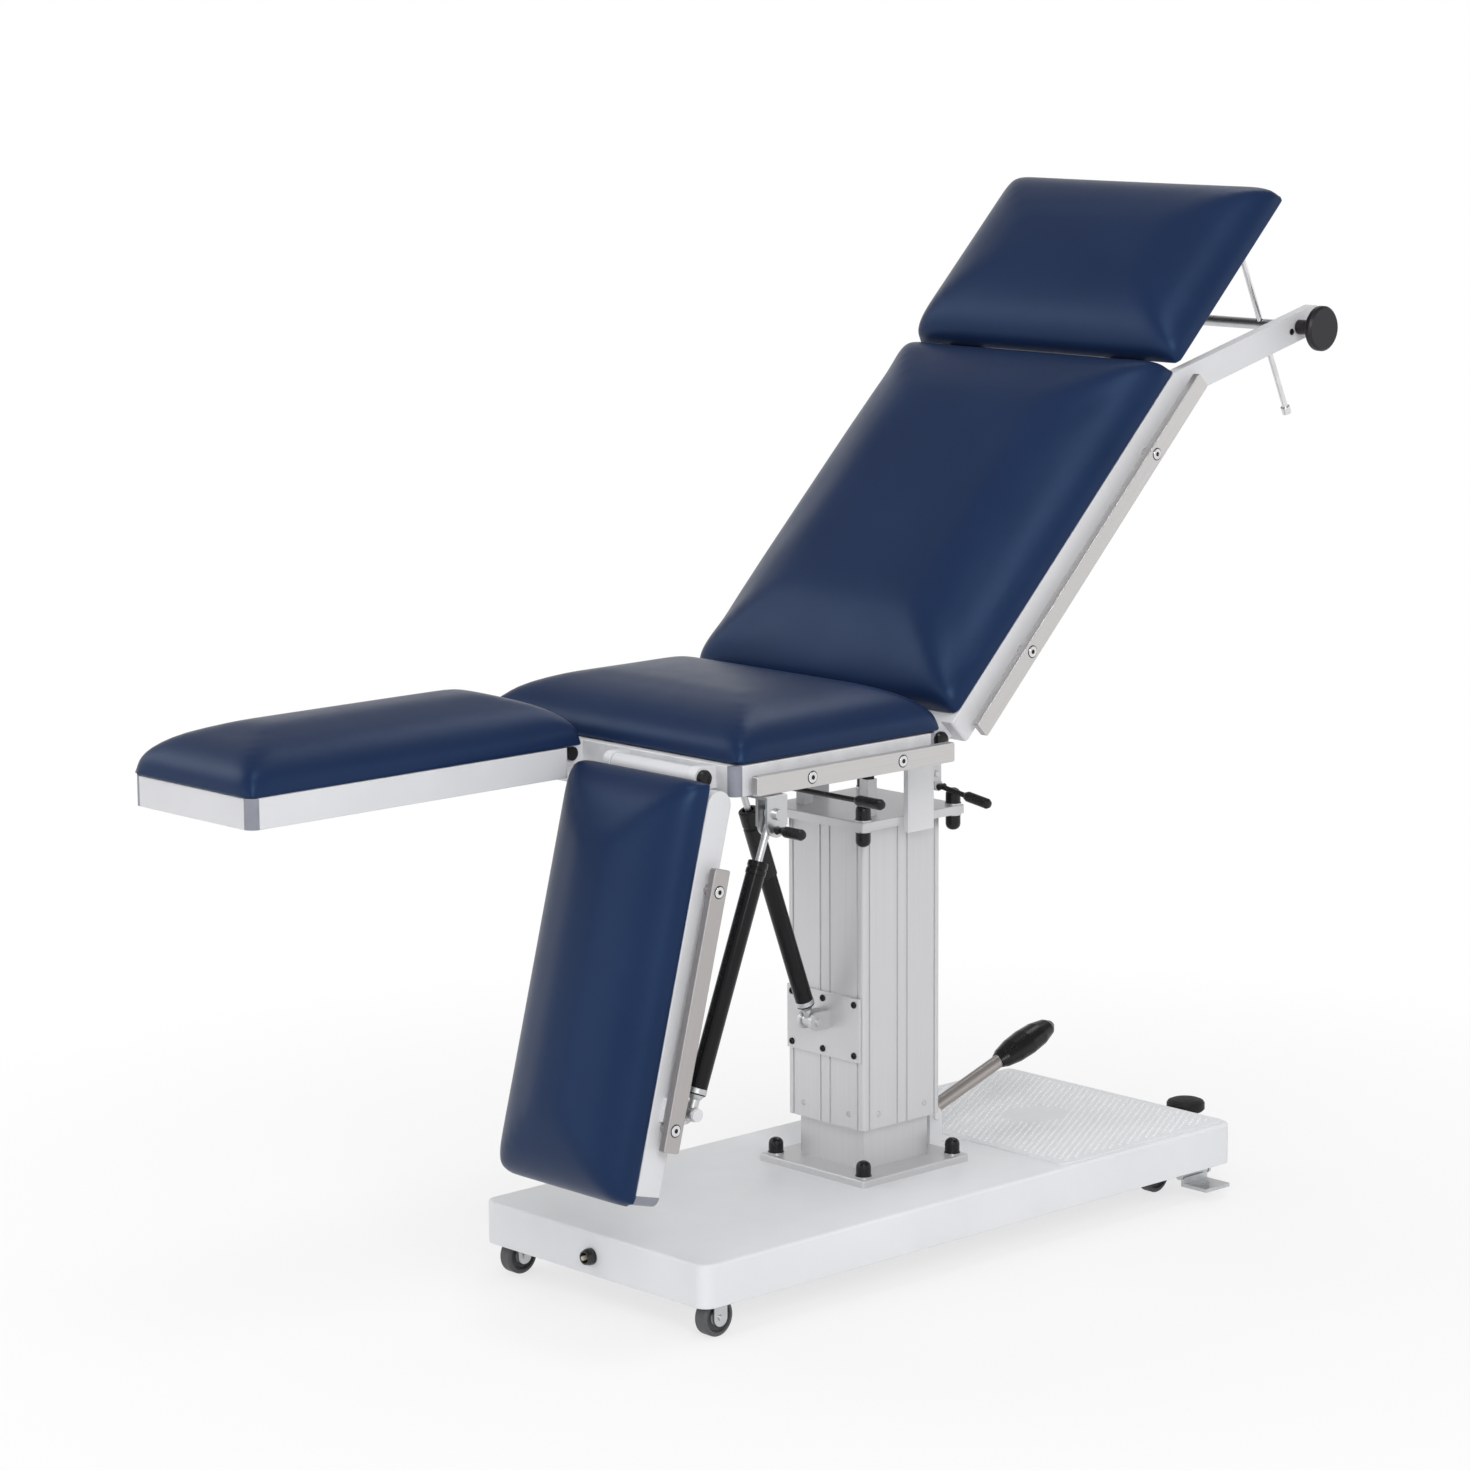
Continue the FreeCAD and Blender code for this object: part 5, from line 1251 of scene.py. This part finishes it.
@dataclass
class Table:
    """Every CAD node with its finish.

    Attributes:
        wheel_zones: A wheel's pale hub, dark face and grey tread.
        socket_zones: The bonding socket's bright pin, yellow-green ring and black collar.
    """

    wheel_zones: tuple[tuple[float, Colour], ...] = (
        (0.0, (0.30, 0.30, 0.31)), (0.44, (0.030, 0.031, 0.034)), (0.80, (0.075, 0.077, 0.082)))
    socket_zones: tuple[tuple[float, Colour], ...] = (
        (0.0, (0.55, 0.52, 0.42)), (0.32, (0.30, 0.32, 0.05)), (0.58, (0.012, 0.012, 0.012)))

    def finishes(self) -> dict[str, Finish]:
        """Name the finish of each node.

        Returns:
            Finishes by node.
        """
        named: dict[str, Finish] = {
            "base_cover": COAT, "foot_mat": MAT, "column_plate": PLATE, "top_plate": PLATE,
            "inner_column": COLUMN, "outer_column": COLUMN, "strut_bracket": PLATE,
            "tilt_posts": POST, "tilt_bars": POST, "pump_bracket": POST, "stop_buffers": RUBBER,
            "base_cap_nuts": nut_finish("base_nut_black", "column_plate"),
            "top_cap_nuts": nut_finish("top_nut_black", "top_plate"),
            "hydraulic_cylinder": ZINC, "piston_rod": BRIGHT, "wheel_brackets": ZINC, "pump_lever": TUBE,
            "pump_grip": BLACK, "lowering_pedal": RUBBER, "brake_pedal": ZINC, "seat_frame": seat_finish(),
            # The head board takes black plastic as painted shade, so that the gap between the head and back pads
            # looks dark.
            "back_frame": FRAME_COAT, "head_board": BLACK, "seat_caps": CAPS, "hinge_bolts": BLACK,
            "tilt_rod": ZINC, "tilt_lever": BLACK, "back_rod": BRIGHT, "back_cylinder": ENAMEL,
            "tilt_cylinder": strut_finish("tilt_strut_enamel", "tilt_tube_swing", "tilt_stem_travel"),
            "back_lever": BLACK, "head_rods": BRIGHT, "crossbar": ZINC, "clamp_knob": GRAPHITE,
            "seat_rails": rail_finish(SEAT), "back_rails": rail_finish(BACK),
            "bonding_socket": disc_finish("bonding_socket_rings", "bonding_socket", (0.05, 0.05, 0.045), 0.3,
                                          Way.ALONG_X, self.socket_zones),
        }
        for end, section in (("_near", LEG_NEAR), ("_far", LEG_FAR)):
            named |= {
                "leg_frame" + end: FRAME_COAT, "leg_caps" + end: CAPS, "leg_rail" + end: rail_finish(section),
                "leg_cylinder" + end: strut_finish("leg_strut_enamel" + end, "leg_tube_swing" + end,
                                                   "leg_stem_travel" + end),
                "leg_rod" + end: ZINC, "leg_lever" + end: BLACK, "caster_fork" + end: ZINC,
            }
            for wheel in ("front_wheel" + end, "caster_wheel" + end):
                named[wheel] = disc_finish("wheel_" + wheel, wheel, (0.16, 0.16, 0.165), 0.5, Way.ALONG_Y,
                                           self.wheel_zones)
        return named

    def dress(self) -> None:
        """Put each finish on its node."""
        for name, finish in self.finishes().items():
            for slot in frame["nodes"][name].material_slots:
                slot.material = finish.material()
            LOG.info("node %s: %s", name, finish.name)


@dataclass(frozen=True)
class Lamp:
    """A soft square lamp that points at the table.

    Attributes:
        name: Its name.
        spot: Where it hangs.
        size: The side of its face.
        power: Its power in watts.
        aim: The point that it lights.
    """

    name: str
    spot: Point
    size: float
    power: float
    aim: Point = (0.0, 0.0, 0.6)

    def hang(self) -> None:
        """Hang the lamp."""
        data = bpy.data.lights.new(self.name, "AREA")
        data.shape = "SQUARE"
        data.size = self.size
        data.energy = self.power
        made = bpy.data.objects.new(self.name, data)
        bpy.context.scene.collection.objects.link(made)
        ahead = Vector(self.aim) - Vector(self.spot)
        made.matrix_world = Matrix.Translation(self.spot) @ ahead.to_track_quat("-Z", "Y").to_matrix().to_4x4()


LAMPS = (
    Lamp("key_lamp", (-3.0, -4.4, 3.2), 2.2, 128.0),
    Lamp("ridge_lamp", (-0.9, -0.95, 3.5), 0.9, 18.0),
    Lamp("foot_lamp", (-2.0, 2.7, 2.5), 1.6, 20.0),
    Lamp("head_lamp", (2.1, 1.0, 3.4), 1.1, 10.0),
    Lamp("side_lamp", (3.2, -2.4, 1.9), 1.6, 8.0),
    Lamp("front_lamp", (-3.8, 0.6, 1.2), 1.4, 10.0),
)


@dataclass
class Studio:
    """The white studio: floor, lamps, surroundings and camera.

    Attributes:
        eye: Where the camera stands.
        yaw: Its heading from the table's far side towards its head end, in degrees.
        pitch: How far it looks down.
        roll: Its lean.
        lens: Its focal length, in millimetres.
        sensor: The width of its frame, in millimetres.
        floor_reach: Half the floor's side.
        floor_colour: The floor's linear colour.
        fade: How white the floor looks at the table and far from it.
        fade_reach: The distances between which that changes.
        ambient: How strongly the surroundings light the table.
        dome: How bright they look overhead in reflections.
        dome_rise: The heights between which they darken, on a ball of radius 1.
    """

    eye: Point = (-4.0987, -4.1494, 1.7100)
    yaw: float = 42.97
    pitch: float = 9.96
    roll: float = -0.345
    lens: float = 109.2
    sensor: float = 36.0
    floor_reach: float = 40.0
    floor_colour: Colour = (0.86, 0.86, 0.865)
    fade: Pair = (0.7, 1.0)
    fade_reach: Pair = (0.55, 1.7)
    ambient: float = 0.55
    dome: float = 0.3
    dome_rise: Pair = (0.15, 0.6)

    def build(self) -> None:
        """Set up the whole studio."""
        self.camera()
        self.floor()
        self.world()
        for lamp in LAMPS:
            lamp.hang()
        bpy.context.scene.view_settings.view_transform = "Standard"

    def camera(self) -> None:
        """Set the camera at the photograph's angle."""
        data = bpy.data.cameras.new("camera")
        data.lens = self.lens
        data.sensor_width = self.sensor
        made = bpy.data.objects.new("camera", data)
        bpy.context.scene.collection.objects.link(made)
        yaw, pitch = math.radians(self.yaw), math.radians(self.pitch)
        ahead = Vector((math.cos(pitch) * math.sin(yaw), math.cos(pitch) * math.cos(yaw), -math.sin(pitch)))
        level = ahead.to_track_quat("-Z", "Y").to_matrix().to_4x4()
        made.matrix_world = Matrix.Translation(self.eye) @ level @ Matrix.Rotation(math.radians(self.roll), 4, "Z")
        bpy.context.scene.camera = made

    def floor(self) -> None:
        """Lay the pale floor, which keeps the shadow and fades into the white."""
        bm = bmesh.new()
        bmesh.ops.create_grid(bm, x_segments=4, y_segments=4, size=self.floor_reach)
        mesh = bpy.data.meshes.new("studio_floor")
        bm.to_mesh(mesh)
        bm.free()
        made = bpy.data.objects.new("studio_floor", mesh)
        bpy.context.scene.collection.objects.link(made)
        mesh.materials.append(self.floor_material())

    def floor_material(self) -> bpy.types.Material:
        """Make the floor's material.

        Returns:
            A matt pale floor that seen directly fades to white away from the table.
        """
        recipe = Recipe("studio_floor")
        tone = recipe.mottled(recipe.noise(3.0, 2.0), self.floor_colour, (0.995, 1.0))
        recipe.coat(Base_Color=tone, Roughness=0.9, Specular_IOR_Level=0.1)
        fade = recipe.span(recipe.combine("LENGTH", recipe.place), *self.fade, self.fade_reach)
        factor = recipe.reckon("MULTIPLY", fade, recipe.white_rays())
        white = recipe.node("Emission", {"Color": BARE_WHITE})
        both = recipe.node("MixShader", {"Fac": factor, 1: recipe.shader.outputs["BSDF"],
                                         2: white.outputs["Emission"]})
        recipe.feed(recipe.output, {"Surface": both.outputs["Shader"]})
        return recipe.material

    def world(self) -> None:
        """Surround the table with plain white that lights it softly and darkens overhead in reflections."""
        world = bpy.data.worlds.new("studio")
        bpy.context.scene.world = world
        world.use_nodes = True
        nodes = Nodes(world.node_tree)
        height = nodes.node("SeparateXYZ", {"Vector": nodes.node("TexCoord").outputs["Generated"]}).outputs["Z"]
        dome = nodes.span(height, 1.0, self.dome, self.dome_rise)
        shown = nodes.reckon("MAXIMUM", nodes.node("LightPath").outputs["Is Camera Ray"], dome)
        level = nodes.node("Mix", {"Factor": nodes.white_rays(), "A": self.ambient, "B": shown})
        nodes.feed(world.node_tree.nodes["Background"],
                   {"Color": BARE_WHITE, "Strength": level.outputs["Result"]})


BOTH = (Side.NEAR, Side.FAR)
PADS = (
    Pad("seat_cushion", "seat_pad", SEAT),
    Pad("back_cushion", "back_pad", BACK),
    Pad("head_cushion", "head_pad", HEAD, overhang=(5 * MM, 1.5 * MM)),
    Pad("leg_cushion_near", "leg_pad_near", LEG_NEAR),
    Pad("leg_cushion_far", "leg_pad_far", LEG_FAR),
)
RAILS = (
    RailFittings(SEAT, "seat_rails", BOTH, 93 * MM),
    RailFittings(BACK, "back_rails", BOTH, 130 * MM),
    RailFittings(LEG_NEAR, "leg_rail_near", (Side.NEAR,), 28 * MM),
    RailFittings(LEG_FAR, "leg_rail_far", (Side.FAR,), 28 * MM),
)


def main() -> None:
    """Build the studio and every piece of the table in order."""
    logging.basicConfig(level=logging.INFO, format="%(name)s: %(message)s")
    Studio().build()
    Table().dress()
    for group in (*PADS, *RAILS, ColumnFittings(), MatTread(), Struts()):
        group.build()


if __name__ == "__main__":
    main()
